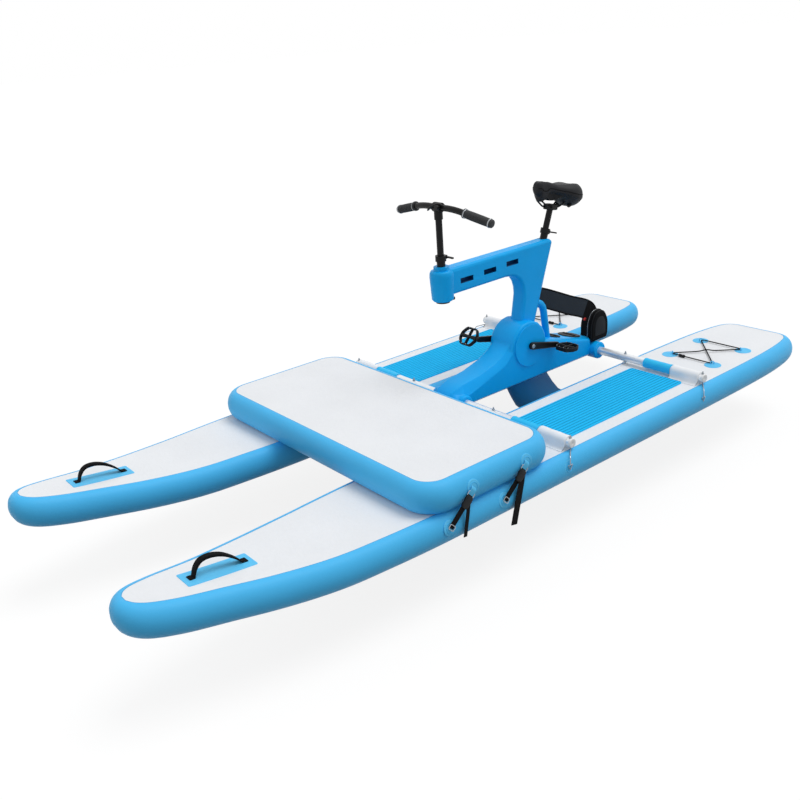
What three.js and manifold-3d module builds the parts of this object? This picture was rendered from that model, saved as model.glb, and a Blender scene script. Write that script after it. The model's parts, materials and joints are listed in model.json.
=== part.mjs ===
// Pontoon water bike: two inflatable boards joined by two crossbars, a moulded bicycle body that
// sits on the crossbars, an inflatable front platform, and a pedal drive that turns a propeller.
// Millimetres. +Z is up, the bows point to -Y, and +X is the rider's left.
import * as THREE from 'three';
import { mergeVertices } from 'three/addons/utils/BufferGeometryUtils.js';
import Module from 'manifold-3d';

const wasm = await Module();
wasm.setup();

// Overall sizes
const boardLength = 3534;
const boardThickness = 120;
const boardSpacing = 928;
const legReach = 262;
const seatGap = 0.3;
const cutOverrun = 4;
const weldOverlap = 1;
const roundSides = 20;
const smallSides = 12;
const cordSides = 8;
const facetTolerance = 0.02;

// Boards: flat decks with half-round sides, turned up at the bows
const boardBulge = 45;
const boardDeckHalfWidth = 205;
const bowLift = 85;
const bowLiftLength = 770;
const bowLiftPower = 1.7;
const boardArcSteps = 6;
const outlineShares = [
  // half width and distance from the bow, of the deck's half width and length
  [0.07, 0.0], [0.18, 0.004], [0.28, 0.012], [0.4, 0.035], [0.525, 0.08], [0.68, 0.126], [0.84, 0.184],
  [0.93, 0.242], [0.985, 0.3], [1.0, 0.38], [1.0, 0.88], [0.95, 0.94], [0.87, 0.975], [0.79, 0.99],
  [0.68, 0.997], [0.54, 1.0],
];

// Crossbars, the sleeves on them, the pockets that hold them to the decks, their pins and clips
const frontBarY = 22;
const barSpacing = 889;
const barRise = 30;
const barRadius = 19;
const barWall = 3;
const barLength = 1376;
const barCapLength = 9;
const sleeveStart = 372;
const sleeveLength = 146;
const sleeveWall = 5;
const pocketStart = 521;
const pocketLength = 145;
const pocketWall = 6.5;
const pocketSkirtHalfWidth = 42;
const pocketSkirtThickness = 3;
const innerPinX = 258;
const endPinInset = 12;
const pinRadius = 3;
const pinRise = 12;
const pinDrop = 5;
const pinHeadRadius = 6;
const pinHeadHeight = 4;
const pinRingRadius = 8;
const pinRingWire = 1.5;
const clipWire = 2.2;
const clipForward = 50;
const clipBelowDeck = 34;
const clipRingRadius = 13;

// Deck pads
const padHalfWidth = 140;
const padThickness = 6;
const padFrontGap = 48;
const padRearGap = 18;
const padGrooves = 14;
const padGrooveWidth = 4;
const padGrooveDepth = 2.4;
const padMargin = 12;
const padCorner = 14;

// Carrying handles on the bows, on welded patches
const patchThickness = 2;
const handlePatchLength = 240;
const handlePatchWidth = 86;
const handleFromBow = 352;
const handleSpan = 170;
const handleHeight = 56;
const handleWidth = 26;
const handleThickness = 5;
const handleFoot = 18;
const handleSteps = 16;
const handleArchShares = [[-1, 0], [-0.92, 0.5], [-0.72, 0.88], [-0.36, 1], [0.16, 0.84], [0.66, 0.42], [1, 0]];

// Bungee cord crossed between four eyes on each stern, with a cord lock
const bungeeFromStern = 625;
const bungeeLength = 255;
const bungeeHalfWidth = 116;
const bungeePatchRadius = 37;
const eyeRadius = 8;
const eyeWire = 2.2;
const bungeeRadius = 2.8;
const bungeeTurn = 30;
const bungeeTurnSteps = 4;
const bungeeLockRadius = 7.4;
const bungeeLockLength = 30;
const bungeeLockShare = 0.28;

// Front platform: an inflated slab strapped across both boards
const platformThickness = 122;
const platformHalfWidth = 668;
const platformFrontY = -706;
const platformLength = 576;
const platformCorner = 80;
const platformCornerSteps = 4;
const platformBulge = 45;
const sidePatchRadius = 26;

// Straps from the platform's sides down to the boards' sides
const strapYs = [-530, -261];
const strapSweep = 123;
const strapWidth = 25;
const strapThickness = 3;
const strapTopRise = 75;
const strapBottomDrop = 44;
const strapTailLengths = [86, 122];
const strapTailWidths = [17, 32];
const strapTailLeans = [46, 18];
const buckleLength = 44;
const buckleWidth = 36;
const buckleThickness = 12;
const buckleShare = 0.12;

// Moulded body: hull on the crossbars, hub, column, top beam and steering head
const hullRise = 6;
const hullHalfWidth = 72;
const hullNoseReach = 62;
const hullRearReach = 34;
const hullTopRise = 172;
const hullEdge = 10;
const hullShares = [
  // along the hull, top of the side wall, half width of the flat top, height of the flat top
  [0.0, 0.17, 0.5, 0.26], [0.02, 0.24, 0.62, 0.43], [0.09, 0.27, 0.68, 0.56], [0.2, 0.42, 0.68, 0.64],
  [0.3, 0.57, 0.7, 0.78], [0.37, 0.71, 0.72, 0.95], [0.42, 0.97, 0.7, 1.15], [0.46, 1.27, 0.62, 1.46],
  [0.485, 1.42, 0.5, 1.6], [0.53, 1.42, 0.5, 1.6], [0.57, 1.22, 0.62, 1.36], [0.62, 0.92, 0.82, 1.0],
  [1.0, 0.45, 0.82, 0.54],
];
const crankY = 448;
const crankRise = 178;
const hubRadius = 112;
const hubStep = 2;
const hubEdge = 12;
const rearBossRadius = 42;
const rearBossHalfLength = 105;
const frontBossRadius = 36;
const frontBossHalfLength = 95;
const bossEdge = 6;
const frameHalfWidth = 38;
const frameEdge = 15;
const beamTopRise = 622;
const beamRearRise = 628;
const beamDepth = 114;
const beamRearY = 650;
const beamRearCorner = 20;
const waistRise = 258;
const waistY = 430;
const waistDepth = 97;
const throatLean = 26;
const throatRadius = 108;
const slotLength = 75;
const slotHeight = 23;
const slotPitch = 138;
const slotFirstY = 71;
const slotRise = 549;
const slotClimb = 6;
const slotDepth = 26;
const headRadius = 52;
const headRise = 488;
const headHeight = 130;
const headCollarRadius = 33;
const headCollarHeight = 16;
const headShares = [[0, 0], [0.8, 0], [0.9, 0.05], [1.0, 0.8], [0.97, 0.92], [0.87, 0.985], [0.7, 1]];
const strutRadius = 17;
const strutPoints = [[520, 358], [618, 322], [646, 130]];
const strutBend = 40;

// Crank, pedals and gears
const chamberRadius = 88;
const coverRadius = 99;
const coverThickness = 4.5;
const coverEdge = 1.5;
const coverSpigot = 10;
const coverSpigotWall = 5;
const coverBossRadius = 24;
const coverBossHeight = 2;
const axleRadius = 10;
const armThickness = 15;
const armLength = 170;
const armRootRadius = 17;
const armTipRadius = 13;
const armEdge = 3;
const crankAngle = -12.8;
const pedalStandOff = 5.5;
const pedalHalfLength = 47;
const pedalHalfWidth = 41;
const pedalNoseShare = 0.62;
const pedalThickness = 17;
const pedalRim = 8;
const pedalBarrelRadius = 10;
const pedalAxleRadius = 6;
const pedalTilts = [-2, 48];
const topGearTeeth = 35;
const topPinionTeeth = 10;
const topConeDistance = 75;
const topFace = 17;
const lowGearTeeth = 20;
const lowPinionTeeth = 12;
const lowConeDistance = 28;
const lowFace = 8;
const gearWeb = 7;
const gearHubWall = 8;
const toothTipShare = 0.13;
const toothRootShare = 0.27;
const addendumShare = 0.8;
const dedendumShare = 1.15;

// Drive leg with its pod and shoe, propeller and rudder
const driveShaftRadius = 7;
const driveRake = 20.9;
const podDrop = 252;
const podRadius = 42;
const podLength = 460;
const podFrontShare = 0.35;
const podShares = [
  // radius and distance along the pod
  [0, 0], [0.3, 0.01], [0.62, 0.05], [0.88, 0.12], [1, 0.22], [1, 0.7], [0.86, 0.88], [0.68, 1], [0, 1],
];
const podCavityRadius = 34;
const podCavityShares = [-0.09, 0.11];
const legHalfWidth = 40;
const legShares = [
  // depth, of the way down to the pod, then front and rear edges, of the pod's length
  [0.0, -0.555, 0.022], [0.16, -0.52, 0.068], [0.36, -0.463, 0.145], [0.55, -0.4, 0.235],
  [0.7, -0.31, 0.36], [0.8, -0.2, 0.48], [0.93, -0.12, 0.53],
];
const foilShares = [
  // along the chord, half thickness
  [0, 0.12], [0.03, 0.42], [0.1, 0.72], [0.22, 0.94], [0.36, 1], [0.55, 0.86], [0.78, 0.5], [0.95, 0.2],
  [1, 0.08],
];
const legBoltBehindShaft = 40;
const legBoltDrop = 152;
const legBoltRadius = 4;
const legBoltHeadRadius = 8;
const legBoltHeadHeight = 5;
const legBoltSeat = 22;
const propShaftRadius = 8;
const propRadius = 110;
const propHubRadius = 22;
const propHubLength = 58;
const propBoreShare = 0.8;
const propGap = 6;
const propPitch = 190;
const propChord = 66;
const propBladeThickness = 6;
const propHubShares = [[0, 0], [0.85, 0], [1, 0.12], [1, 0.7], [0.5, 0.97], [0, 1]];
const bladeShares = [[0.12, 0.6], [0.3, 0.85], [0.55, 1], [0.8, 0.92], [0.94, 0.62], [1, 0.25]];
const bladeSectionShares = [[-1, 0], [-0.6, 0.7], [0, 1], [0.6, 0.7], [1, 0], [0.6, -0.7], [0, -1], [-0.6, -0.7]];
const shoeThickness = 12;
const shoeHalfWidth = 14;
const shoeEdge = 3;
const skegHalfWidth = 9;
const skegShares = [0.42, 0.56, 0.97];
const rudderGap = 52;
const rudderChord = 112;
const rudderLeadShare = 0.22;
const rudderHeight = 144;
const rudderHalfThickness = 8;
const rudderEdge = 5;
const rudderCorner = 24;
const rudderPinRadius = 5;

// Steering stem and handlebar
const stemOuterRadius = 18;
const stemInnerRadius = 14;
const stemOuterTop = 44;
const stemInnerTop = 230;
const stemInnerOverlap = 130;
const collarWall = 5;
const collarHeight = 24;
const collarLip = 2;
const earLength = 13;
const earThickness = 4;
const earRadius = 6;
const leverLength = 40;
const leverThickness = 6;
const leverRadius = 5;
const leverPinRadius = 2.5;
const capRadius = 30;
const capHeight = 9;
const capArmLength = 66;
const capArmHalfWidth = 11;
const barTubeRadius = 13;
const handlebarHalfWidth = 278;
const handlebarDrop = 42;
const handlebarSweep = 27;
const handlebarFlat = 52;
const handlebarBend = 45;
const gripRadius = 17;
const gripLength = 138;
const gripEnd = 4;
const gripFlangeRadius = 20;
const gripFlangeLength = 7;
const clampHalfWidth = 24;
const clampRadius = 20;
const clampNeckRadius = 18;
const clampNeckLength = 34;
const clampWeb = 3;

// Seat
const seatTubeRadius = 16.8;
const seatTubeTop = 44;
const seatTubeDepth = 150;
const seatMouthInset = 22;
const seatRake = 20;
const seatPostRadius = 14;
const seatPostTop = 144;
const seatPostOverlap = 100;
const seatHeadHeight = 26;
const seatHeadHalfWidth = 28;
const seatHeadHalfLength = 20;
const seatHeadEdge = 6;
const railRadius = 4;
const railHalfSpacing = 18;
const railStraight = 34;
const railNoseHalfWidth = 13;
const railBend = 11;
const railReach = 86;
const railNoseReach = 86;
const railRise = 34;
const railSpread = 1.7;
const saddleLength = 252;
const saddleHalfWidth = 84;
const saddleHeight = 118;
const saddleFrontShare = 0.437;
const saddleTilt = 8;
const saddleSteps = 22;
const saddleSides = 18;
const saddleShares = [
  // along, half width, top and bottom
  [0.0, 0.12, 0.82, 0.55], [0.02, 0.25, 0.94, 0.46], [0.07, 0.32, 0.99, 0.38], [0.1, 0.34, 1.0, 0.22],
  [0.18, 0.36, 0.99, 0.21], [0.25, 0.38, 0.97, 0.42], [0.35, 0.44, 0.92, 0.44], [0.46, 0.57, 0.88, 0.37],
  [0.58, 0.78, 0.88, 0.29], [0.7, 0.95, 0.91, 0.14], [0.82, 1.0, 0.93, 0.02], [0.92, 0.94, 0.91, 0.0],
  [0.98, 0.74, 0.8, 0.12], [1.0, 0.38, 0.66, 0.3],
];
const saddleWaistShare = 0.4;
const saddleDipShare = 0.07;
const saddleDipHalfShare = 0.4;
const saddleTuckShare = 0.3;
const saddleCrownPower = 0.8;
const saddleSidePower = 0.75;

// Screw lids in the hull's tail, and the belt pack that lies on it
const lidRadii = [54, 34];
const lidYs = [804, 690];
const lidThickness = 7;
const lidSink = 3;
const lidSpigotDepth = 12;
const lidSpigotInset = 8;
const lidGripHeight = 4;
const lidGripHalfWidth = 5;
const lidGripShare = 0.7;
const beltHeight = 92;
const beltThickness = 9;
const beltPoints = [[0, 588, 358], [0, 646, 338], [0.5, 780, 278], [1, 896, 224], [1, 926, 160]];
const beltSteps = 12;
const pouchX = 44;
const pouchHalfWidth = 38;
const pouchHeight = 146;
const pouchFrontGap = 6;
const pouchEdge = 12;
const pouchShares = [
  // across and up the pouch's side
  [0, 0], [1.0, 0], [1.12, 0.35], [1.06, 0.72], [0.78, 1.0], [0.28, 0.98], [0.02, 0.7], [-0.04, 0.3],
];
const pouchDepth = 108;

// Places and levels worked out from the sizes
const deckLevel = legReach + boardThickness;
const boardX = boardSpacing / 2;
const sternY = boardLength / 2;
const sideFace = boardX + boardDeckHalfWidth + boardBulge + patchThickness;
const sideLevel = legReach + boardThickness / 2;
const rearBarY = frontBarY + barSpacing;
const barLevel = deckLevel + barRise;
const hullLevel = deckLevel + hullRise;
const hullFrontY = frontBarY - hullNoseReach;
const hullLength = barSpacing + hullNoseReach - hullRearReach;
const crankLevel = deckLevel + crankRise;
const hubHalfWidth = hullHalfWidth + hubStep;
const podLevel = deckLevel - podDrop;
const driveAngle = THREE.MathUtils.degToRad(driveRake);
const driveDirection = new THREE.Vector3(0, Math.sin(driveAngle), -Math.cos(driveAngle));
const driveLength = (crankLevel - podLevel) / Math.cos(driveAngle);
const crankCentre = new THREE.Vector3(0, crankY, crankLevel);
const podCentre = crankCentre.clone().addScaledVector(driveDirection, driveLength);
const podFrontY = podCentre.y - podLength * podFrontShare;
const podRearY = podFrontY + podLength;
const propFrontY = podRearY + propGap;
const rudderY = propFrontY + propHubLength + rudderGap;
const headTop = deckLevel + headRise + headHeight + headCollarHeight;
const stemTop = headTop + stemInnerTop;
const handlebarLevel = stemTop + clampWeb + barTubeRadius;
const seatAngle = THREE.MathUtils.degToRad(seatRake);
const seatAxis = new THREE.Vector3(0, Math.sin(seatAngle), Math.cos(seatAngle));
const seatMouth = new THREE.Vector3(0, beamRearY - seatMouthInset, deckLevel + beamRearRise);
const seatHead = seatMouth.clone().addScaledVector(seatAxis, seatPostTop);
const armX = hubHalfWidth + coverThickness + coverBossHeight + 3 * seatGap;
const pedalX = armX + armThickness + pedalStandOff + pedalHalfLength;

const alongX = new THREE.Vector3(1, 0, 0);
const alongY = new THREE.Vector3(0, 1, 0);
const alongZ = new THREE.Vector3(0, 0, 1);

const lightBlue = { color: 0x4fb4e8, roughness: 0.5, metalness: 0 };
const padBlue = { color: 0x1fa6e6, roughness: 0.8, metalness: 0 };
const bodyBlue = { color: 0x0a86d6, roughness: 0.4, metalness: 0 };
const deepBlue = { color: 0x064a80, roughness: 0.4, metalness: 0 };
const white = { color: 0xebedf3, roughness: 0.6, metalness: 0 };
const black = { color: 0x141416, roughness: 0.6, metalness: 0 };
const rubberBlack = { color: 0x1b1c1e, roughness: 0.85, metalness: 0 };
const webbing = { color: 0x111113, roughness: 0.9, metalness: 0 };
const silver = { color: 0xc9ccd0, roughness: 0.35, metalness: 0.9 };
const steel = { color: 0x8d9094, roughness: 0.4, metalness: 0.9 };

const bike = new THREE.Group();
bike.name = 'pontoon_water_bike';

function add(name, shape, look) {
  const geometry = shape.isBufferGeometry ? shape : geometryOf(shape);
  geometry.computeVertexNormals();
  const mesh = new THREE.Mesh(geometry, new THREE.MeshStandardMaterial(look));
  mesh.name = name;
  bike.add(mesh);
}

function at(x, y, z) {
  return new THREE.Vector3(x, y, z);
}

// A closed geometry as a solid that can be joined and cut.
function solid(geometry) {
  const bare = geometry.clone();
  bare.deleteAttribute('normal');
  bare.deleteAttribute('uv');
  const merged = mergeVertices(bare);
  const corners = merged.index.array;
  const triVerts = [];
  for (let i = 0; i < corners.length; i += 3) {
    const [a, b, c] = [corners[i], corners[i + 1], corners[i + 2]];
    if (a !== b && b !== c && c !== a) triVerts.push(a, b, c);
  }
  return new wasm.Manifold(new wasm.Mesh({
    numProp: 3,
    vertProperties: new Float32Array(merged.attributes.position.array),
    triVerts: new Uint32Array(triVerts),
  }));
}

function geometryOf(manifold) {
  const mesh = manifold.asOriginal().simplify(facetTolerance).getMesh();
  const geometry = new THREE.BufferGeometry();
  geometry.setAttribute('position', new THREE.BufferAttribute(new Float32Array(mesh.vertProperties), 3));
  geometry.setIndex(new THREE.BufferAttribute(new Uint32Array(mesh.triVerts), 1));
  return geometry;
}

function joined(...pieces) {
  return pieces.reduce((whole, piece) => whole.add(piece));
}

function cut(whole, ...tools) {
  return tools.reduce((rest, tool) => rest.subtract(tool), whole);
}

// Radius of a faceted bore that clears a faceted shaft at any turn.
function boreRadius(shaftRadius, sides = roundSides) {
  return (shaftRadius + seatGap) / Math.cos(Math.PI / sides);
}

function meshOf(positions, index) {
  const geometry = new THREE.BufferGeometry();
  geometry.setAttribute('position', new THREE.BufferAttribute(new Float32Array(positions), 3));
  geometry.setIndex(index);
  return geometry;
}

// Turns a closed geometry's faces outwards if they point in.
function outward(geometry) {
  const places = geometry.attributes.position;
  const order = geometry.index.array;
  const [a, b, c] = [new THREE.Vector3(), new THREE.Vector3(), new THREE.Vector3()];
  const origin = new THREE.Vector3().fromBufferAttribute(places, 0);
  let volume = 0;
  for (let i = 0; i < order.length; i += 3) {
    a.fromBufferAttribute(places, order[i]).sub(origin);
    b.fromBufferAttribute(places, order[i + 1]).sub(origin);
    c.fromBufferAttribute(places, order[i + 2]).sub(origin);
    volume += a.dot(b.cross(c));
  }
  if (volume < 0) {
    for (let i = 0; i < order.length; i += 3) [order[i], order[i + 1]] = [order[i + 1], order[i]];
  }
  return geometry;
}

// Revolved profile of [radius, height] pairs, its axis laid along a direction from a place.
function revolve(profile, direction, place, sides = roundSides) {
  const points = profile.map(([radius, height]) => new THREE.Vector2(radius, height));
  const geometry = new THREE.LatheGeometry(points, sides);
  geometry.applyQuaternion(new THREE.Quaternion().setFromUnitVectors(alongY, direction.clone().normalize()));
  geometry.translate(place.x, place.y, place.z);
  return solid(outward(geometry));
}

function rod(radius, from, to, sides = roundSides) {
  const along = to.clone().sub(from);
  return revolve([[0, 0], [radius, 0], [radius, along.length()], [0, along.length()]], along, from, sides);
}

function pipe(outer, inner, from, to) {
  const along = to.clone().sub(from);
  const end = along.length();
  return revolve([[inner, 0], [outer, 0], [outer, end], [inner, end], [inner, 0]], along, from);
}

function torus(radius, wire, place, tilt, sides = cordSides) {
  const geometry = new THREE.TorusGeometry(radius, wire, 5, sides);
  geometry.applyQuaternion(new THREE.Quaternion().setFromEuler(tilt));
  geometry.translate(place.x, place.y, place.z);
  return solid(geometry);
}

function box(low, high) {
  const size = high.clone().sub(low);
  const geometry = new THREE.BoxGeometry(size.x, size.y, size.z);
  geometry.translate(low.x + size.x / 2, low.y + size.y / 2, low.z + size.z / 2);
  return solid(geometry);
}

// Outline in (y, z) extruded along X about a middle plane, with rounded rims.
function slab(shape, halfWidth, edge, middle = 0, rimSteps = 2, curveSegments = 6) {
  const geometry = new THREE.ExtrudeGeometry(shape, {
    depth: 2 * (halfWidth - edge),
    bevelEnabled: edge > 0,
    bevelThickness: edge,
    bevelSize: edge,
    bevelOffset: -edge,
    bevelSegments: rimSteps,
    curveSegments,
  });
  geometry.translate(0, 0, edge - halfWidth + middle);
  geometry.applyMatrix4(new THREE.Matrix4().makeBasis(alongY, alongZ, alongX));
  return solid(geometry);
}

// Flat outline in (x, y) extruded upwards from a level.
function plate(shape, level, thickness, curveSegments = 4) {
  const geometry = new THREE.ExtrudeGeometry(shape, { depth: thickness, bevelEnabled: false, curveSegments });
  geometry.translate(0, 0, level);
  return solid(geometry);
}

function outline(points) {
  return new THREE.Shape(points.map(([x, y]) => new THREE.Vector2(x, y)));
}

function roundedRectangle(x0, y0, x1, y1, corner) {
  const shape = new THREE.Shape();
  shape.absarc(x1 - corner, y0 + corner, corner, -Math.PI / 2, 0);
  shape.absarc(x1 - corner, y1 - corner, corner, 0, Math.PI / 2);
  shape.absarc(x0 + corner, y1 - corner, corner, Math.PI / 2, Math.PI);
  shape.absarc(x0 + corner, y0 + corner, corner, Math.PI, 1.5 * Math.PI);
  shape.closePath();
  return shape;
}

// Closed skin over rings of equal point counts, with a fan over each end.
function loft(rings) {
  const count = rings[0].length;
  const positions = rings.flat().flatMap((point) => [point.x, point.y, point.z]);
  const index = [];
  for (let i = 0; i + 1 < rings.length; i += 1) {
    for (let j = 0; j < count; j += 1) {
      const a = i * count + j;
      const b = i * count + ((j + 1) % count);
      index.push(a, b, a + count, b, b + count, a + count);
    }
  }
  for (const [ring, flip] of [[0, true], [rings.length - 1, false]]) {
    const middle = new THREE.Vector3();
    for (const point of rings[ring]) middle.addScaledVector(point, 1 / count);
    const hub = positions.length / 3;
    positions.push(middle.x, middle.y, middle.z);
    for (let j = 0; j < count; j += 1) {
      const a = ring * count + j;
      const b = ring * count + ((j + 1) % count);
      index.push(...(flip ? [b, a, hub] : [a, b, hub]));
    }
  }
  return outward(meshOf(positions, index));
}

// Section swept along straight runs, each ring in the plane that halves the bend between two runs.
// The section's first axis starts out along the direction given.
function sweep(points, section, across) {
  const runs = points.slice(1).map((point, i) => point.clone().sub(points[i]).normalize());
  const up = new THREE.Vector3().crossVectors(runs[0], across).normalize();
  const side = new THREE.Vector3().crossVectors(up, runs[0]);
  let ring = section.map(([u, v]) => points[0].clone().addScaledVector(side, u).addScaledVector(up, v));
  const rings = [ring];
  for (let i = 1; i < points.length; i += 1) {
    const run = runs[i - 1];
    const normal = run.clone().add(runs[i] ?? run);
    ring = ring.map((corner) => {
      const distance = points[i].clone().sub(corner).dot(normal) / run.dot(normal);
      return corner.clone().addScaledVector(run, distance);
    });
    rings.push(ring);
  }
  return solid(loft(rings));
}

// Strip along a path in a plane: its sizes are along the plane's normal and in the plane.
function band(points, squareSize, planeSize, normal) {
  const [u, v] = [squareSize / 2, planeSize / 2];
  return sweep(points, [[-u, -v], [u, -v], [u, v], [-u, v]], normal);
}

function tube(points, radius, sides = smallSides) {
  const section = [];
  for (let i = 0; i < sides; i += 1) {
    const angle = (2 * Math.PI * i) / sides;
    section.push([radius * Math.cos(angle), radius * Math.sin(angle)]);
  }
  const run = points[1].clone().sub(points[0]).normalize();
  return sweep(points, section, Math.abs(run.x) < Math.abs(run.y) + Math.abs(run.z) ? alongX : alongZ);
}

function smoothPath(points, steps) {
  return new THREE.CatmullRomCurve3(points, false, 'centripetal').getPoints(steps);
}

// Path of straight runs with rounded corners; the setback is where the rounding starts.
function bentPath(corners, setback, steps = 3) {
  const path = [corners[0]];
  for (let i = 1; i + 1 < corners.length; i += 1) {
    const [before, after] = [i - 1, i + 1].map((j) => (
      corners[j].clone().sub(corners[i]).setLength(setback).add(corners[i])));
    path.push(...new THREE.QuadraticBezierCurve3(before, corners[i], after).getPoints(steps));
  }
  return [...path, corners[corners.length - 1]];
}

// Inflated slab: a deck outline whose sides bulge out in half rounds all the way round.
// Stations run from one end to the other as half width, place along Y, and outward normal.
function inflated(stations, thickness, bulge, lift) {
  const steps = boardArcSteps;
  const count = steps + 1;
  const positions = [];
  const index = [];
  for (const side of [1, -1]) {
    for (const { x, y, nx, ny } of stations) {
      for (let j = 0; j < count; j += 1) {
        const angle = Math.PI / 2 - (Math.PI * j) / steps;
        const out = bulge * Math.cos(angle);
        const along = y + ny * out;
        positions.push(side * (x + nx * out), along, (thickness / 2) * (1 + Math.sin(angle)) + lift(along));
      }
    }
  }
  const half = stations.length * count;
  const last = half - count;
  const quad = (a, b, c, d) => index.push(a, b, c, a, c, d);
  for (let row = 0; row < last; row += count) {
    const next = row + count;
    for (let j = 0; j < steps; j += 1) {
      quad(row + j, row + j + 1, next + j + 1, next + j);
      quad(half + row + j + 1, half + row + j, half + next + j, half + next + j + 1);
    }
    quad(half + row, row, next, half + next);
    quad(row + steps, half + row + steps, half + next + steps, next + steps);
  }
  for (let j = 0; j < steps; j += 1) {
    quad(j, half + j, half + j + 1, j + 1);
    quad(half + last + j, last + j, last + j + 1, half + last + j + 1);
  }
  return outward(meshOf(positions, index));
}

// Height of a board's underside above its middle, along its length.
function boardLift(y) {
  const reach = Math.max(0, bowLiftLength - sternY - y) / bowLiftLength;
  return bowLift * reach ** bowLiftPower;
}

function boardStations() {
  const deckLength = boardLength - 2 * boardBulge;
  const points = outlineShares.map(([wide, along]) => [boardDeckHalfWidth * wide, (along - 0.5) * deckLength]);
  return points.map(([x, y], i) => {
    if (i === 0) return { x, y, nx: 0, ny: -1 };
    if (i === points.length - 1) return { x, y, nx: 0, ny: 1 };
    const [ax, ay] = points[i - 1];
    const [bx, by] = points[i + 1];
    const length = Math.hypot(bx - ax, by - ay);
    return { x, y, nx: (by - ay) / length, ny: (ax - bx) / length };
  });
}

// Frame of a bow handle: on the lifted deck, with its Y along the slope.
function handleFrame(side) {
  const y = handleFromBow - sternY;
  const reach = handlePatchLength / 2;
  const slope = Math.atan2(boardLift(y + reach) - boardLift(y - reach), handlePatchLength);
  const frame = new THREE.Matrix4().makeRotationX(slope);
  return frame.setPosition(side * boardX, y, deckLevel + boardLift(y));
}

// The four bungee eyes in the order in which the cord visits them: the corner of the cord's path,
// the eye's place, so that the cord pulls against its inner rim, and the eye's angle.
function bungeeEyes(side) {
  const front = sternY - bungeeFromStern;
  const rear = front + bungeeLength;
  const level = deckLevel + patchThickness + eyeRadius - eyeWire;
  const slack = eyeRadius * Math.cos(Math.PI / cordSides) - eyeWire - bungeeRadius - seatGap / 2;
  const corners = [[-1, front], [1, rear], [-1, rear], [1, front]].map(([across, y]) => (
    at(side * (boardX + across * bungeeHalfWidth), y, level)));
  return corners.map((corner, i) => {
    const inner = at(0, 0, 0);
    for (const j of [i + 1, i + 3]) inner.add(corners[j % 4].clone().sub(corner).setLength(bungeeTurn / 4));
    inner.setLength(inner.length() - slack);
    return { corner, place: corner.clone().add(inner), angle: Math.atan2(inner.y, inner.x) };
  });
}

function pontoon(side) {
  const skin = inflated(boardStations(), boardThickness, boardBulge, boardLift);
  skin.translate(side * boardX, 0, legReach);
  const patch = new THREE.BoxGeometry(handlePatchWidth, handlePatchLength, 2 * patchThickness);
  patch.applyMatrix4(handleFrame(side));
  const pieces = [solid(skin), solid(patch)];
  for (const { corner, place, angle } of bungeeEyes(side)) {
    const [low, high] = [deckLevel - patchThickness, deckLevel + patchThickness];
    pieces.push(rod(bungeePatchRadius, corner.clone().setZ(low), corner.clone().setZ(high), smallSides));
    pieces.push(torus(eyeRadius, eyeWire, place, new THREE.Euler(Math.PI / 2, 0, angle, 'ZYX')));
  }
  for (const y of [frontBarY - clipForward, rearBarY - clipForward, ...strapYs.map((top) => top - strapSweep)]) {
    pieces.push(sidePatch(side, y, sideLevel));
  }
  return joined(...pieces);
}

// Flat round patch welded to an inflated side.
function sidePatch(side, y, z) {
  const inner = at(side * (sideFace - boardBulge / 2), y, z);
  return rod(sidePatchRadius, inner, at(side * sideFace, y, z), smallSides);
}

function deckPad(side) {
  const x0 = side * boardX - padHalfWidth;
  const y0 = frontBarY + barRadius + pocketWall + padFrontGap;
  const y1 = rearBarY - barRadius - pocketWall - padRearGap;
  const level = deckLevel + seatGap;
  const top = level + padThickness;
  const pitch = (2 * padHalfWidth - 2 * padMargin) / padGrooves;
  let pad = plate(roundedRectangle(x0, y0, x0 + 2 * padHalfWidth, y1, padCorner), level, padThickness);
  for (let i = 0; i <= padGrooves; i += 1) {
    const x = x0 + padMargin + i * pitch;
    pad = cut(pad, box(
      at(x - padGrooveWidth / 2, y0 - cutOverrun, top - padGrooveDepth),
      at(x + padGrooveWidth / 2, y1 + cutOverrun, top + cutOverrun)));
  }
  return pad;
}

// Webbing handle: two flat feet on the patch and an arch between them.
function bowHandle(side) {
  const bottom = patchThickness + seatGap;
  const middle = bottom + handleThickness / 2;
  const reach = handleSpan / 2;
  const arch = handleArchShares.map(([along, up]) => at(0, reach * along, middle + handleHeight * up));
  const path = [
    at(0, -reach - handleFoot, middle), ...smoothPath(arch, handleSteps), at(0, reach + handleFoot, middle),
  ];
  return geometryOf(band(path, handleWidth, handleThickness, alongX)).applyMatrix4(handleFrame(side));
}

// Bungee: one cord from its lock through the four eyes, over itself, and back into the lock.
function sternBungee(side) {
  const corners = bungeeEyes(side).map(({ corner }) => corner);
  const [first, second, , last] = corners;
  const over = first.clone().lerp(second, 0.5);
  over.z += 2 * bungeeRadius + weldOverlap;
  const half = last.clone().sub(first).setLength(bungeeLockLength / 2);
  const lock = first.clone().lerp(last, bungeeLockShare);
  const gap = half.clone().setLength(weldOverlap);
  const turns = bentPath(
    [lock.clone().sub(gap), ...corners, lock.clone().add(gap)], bungeeTurn, bungeeTurnSteps);
  turns.splice(bungeeTurnSteps + 2, 0, over);
  const [low, high] = [lock.clone().sub(half), lock.clone().add(half)];
  return joined(tube(turns, bungeeRadius, cordSides), rod(bungeeLockRadius, low, high, smallSides));
}

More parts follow.
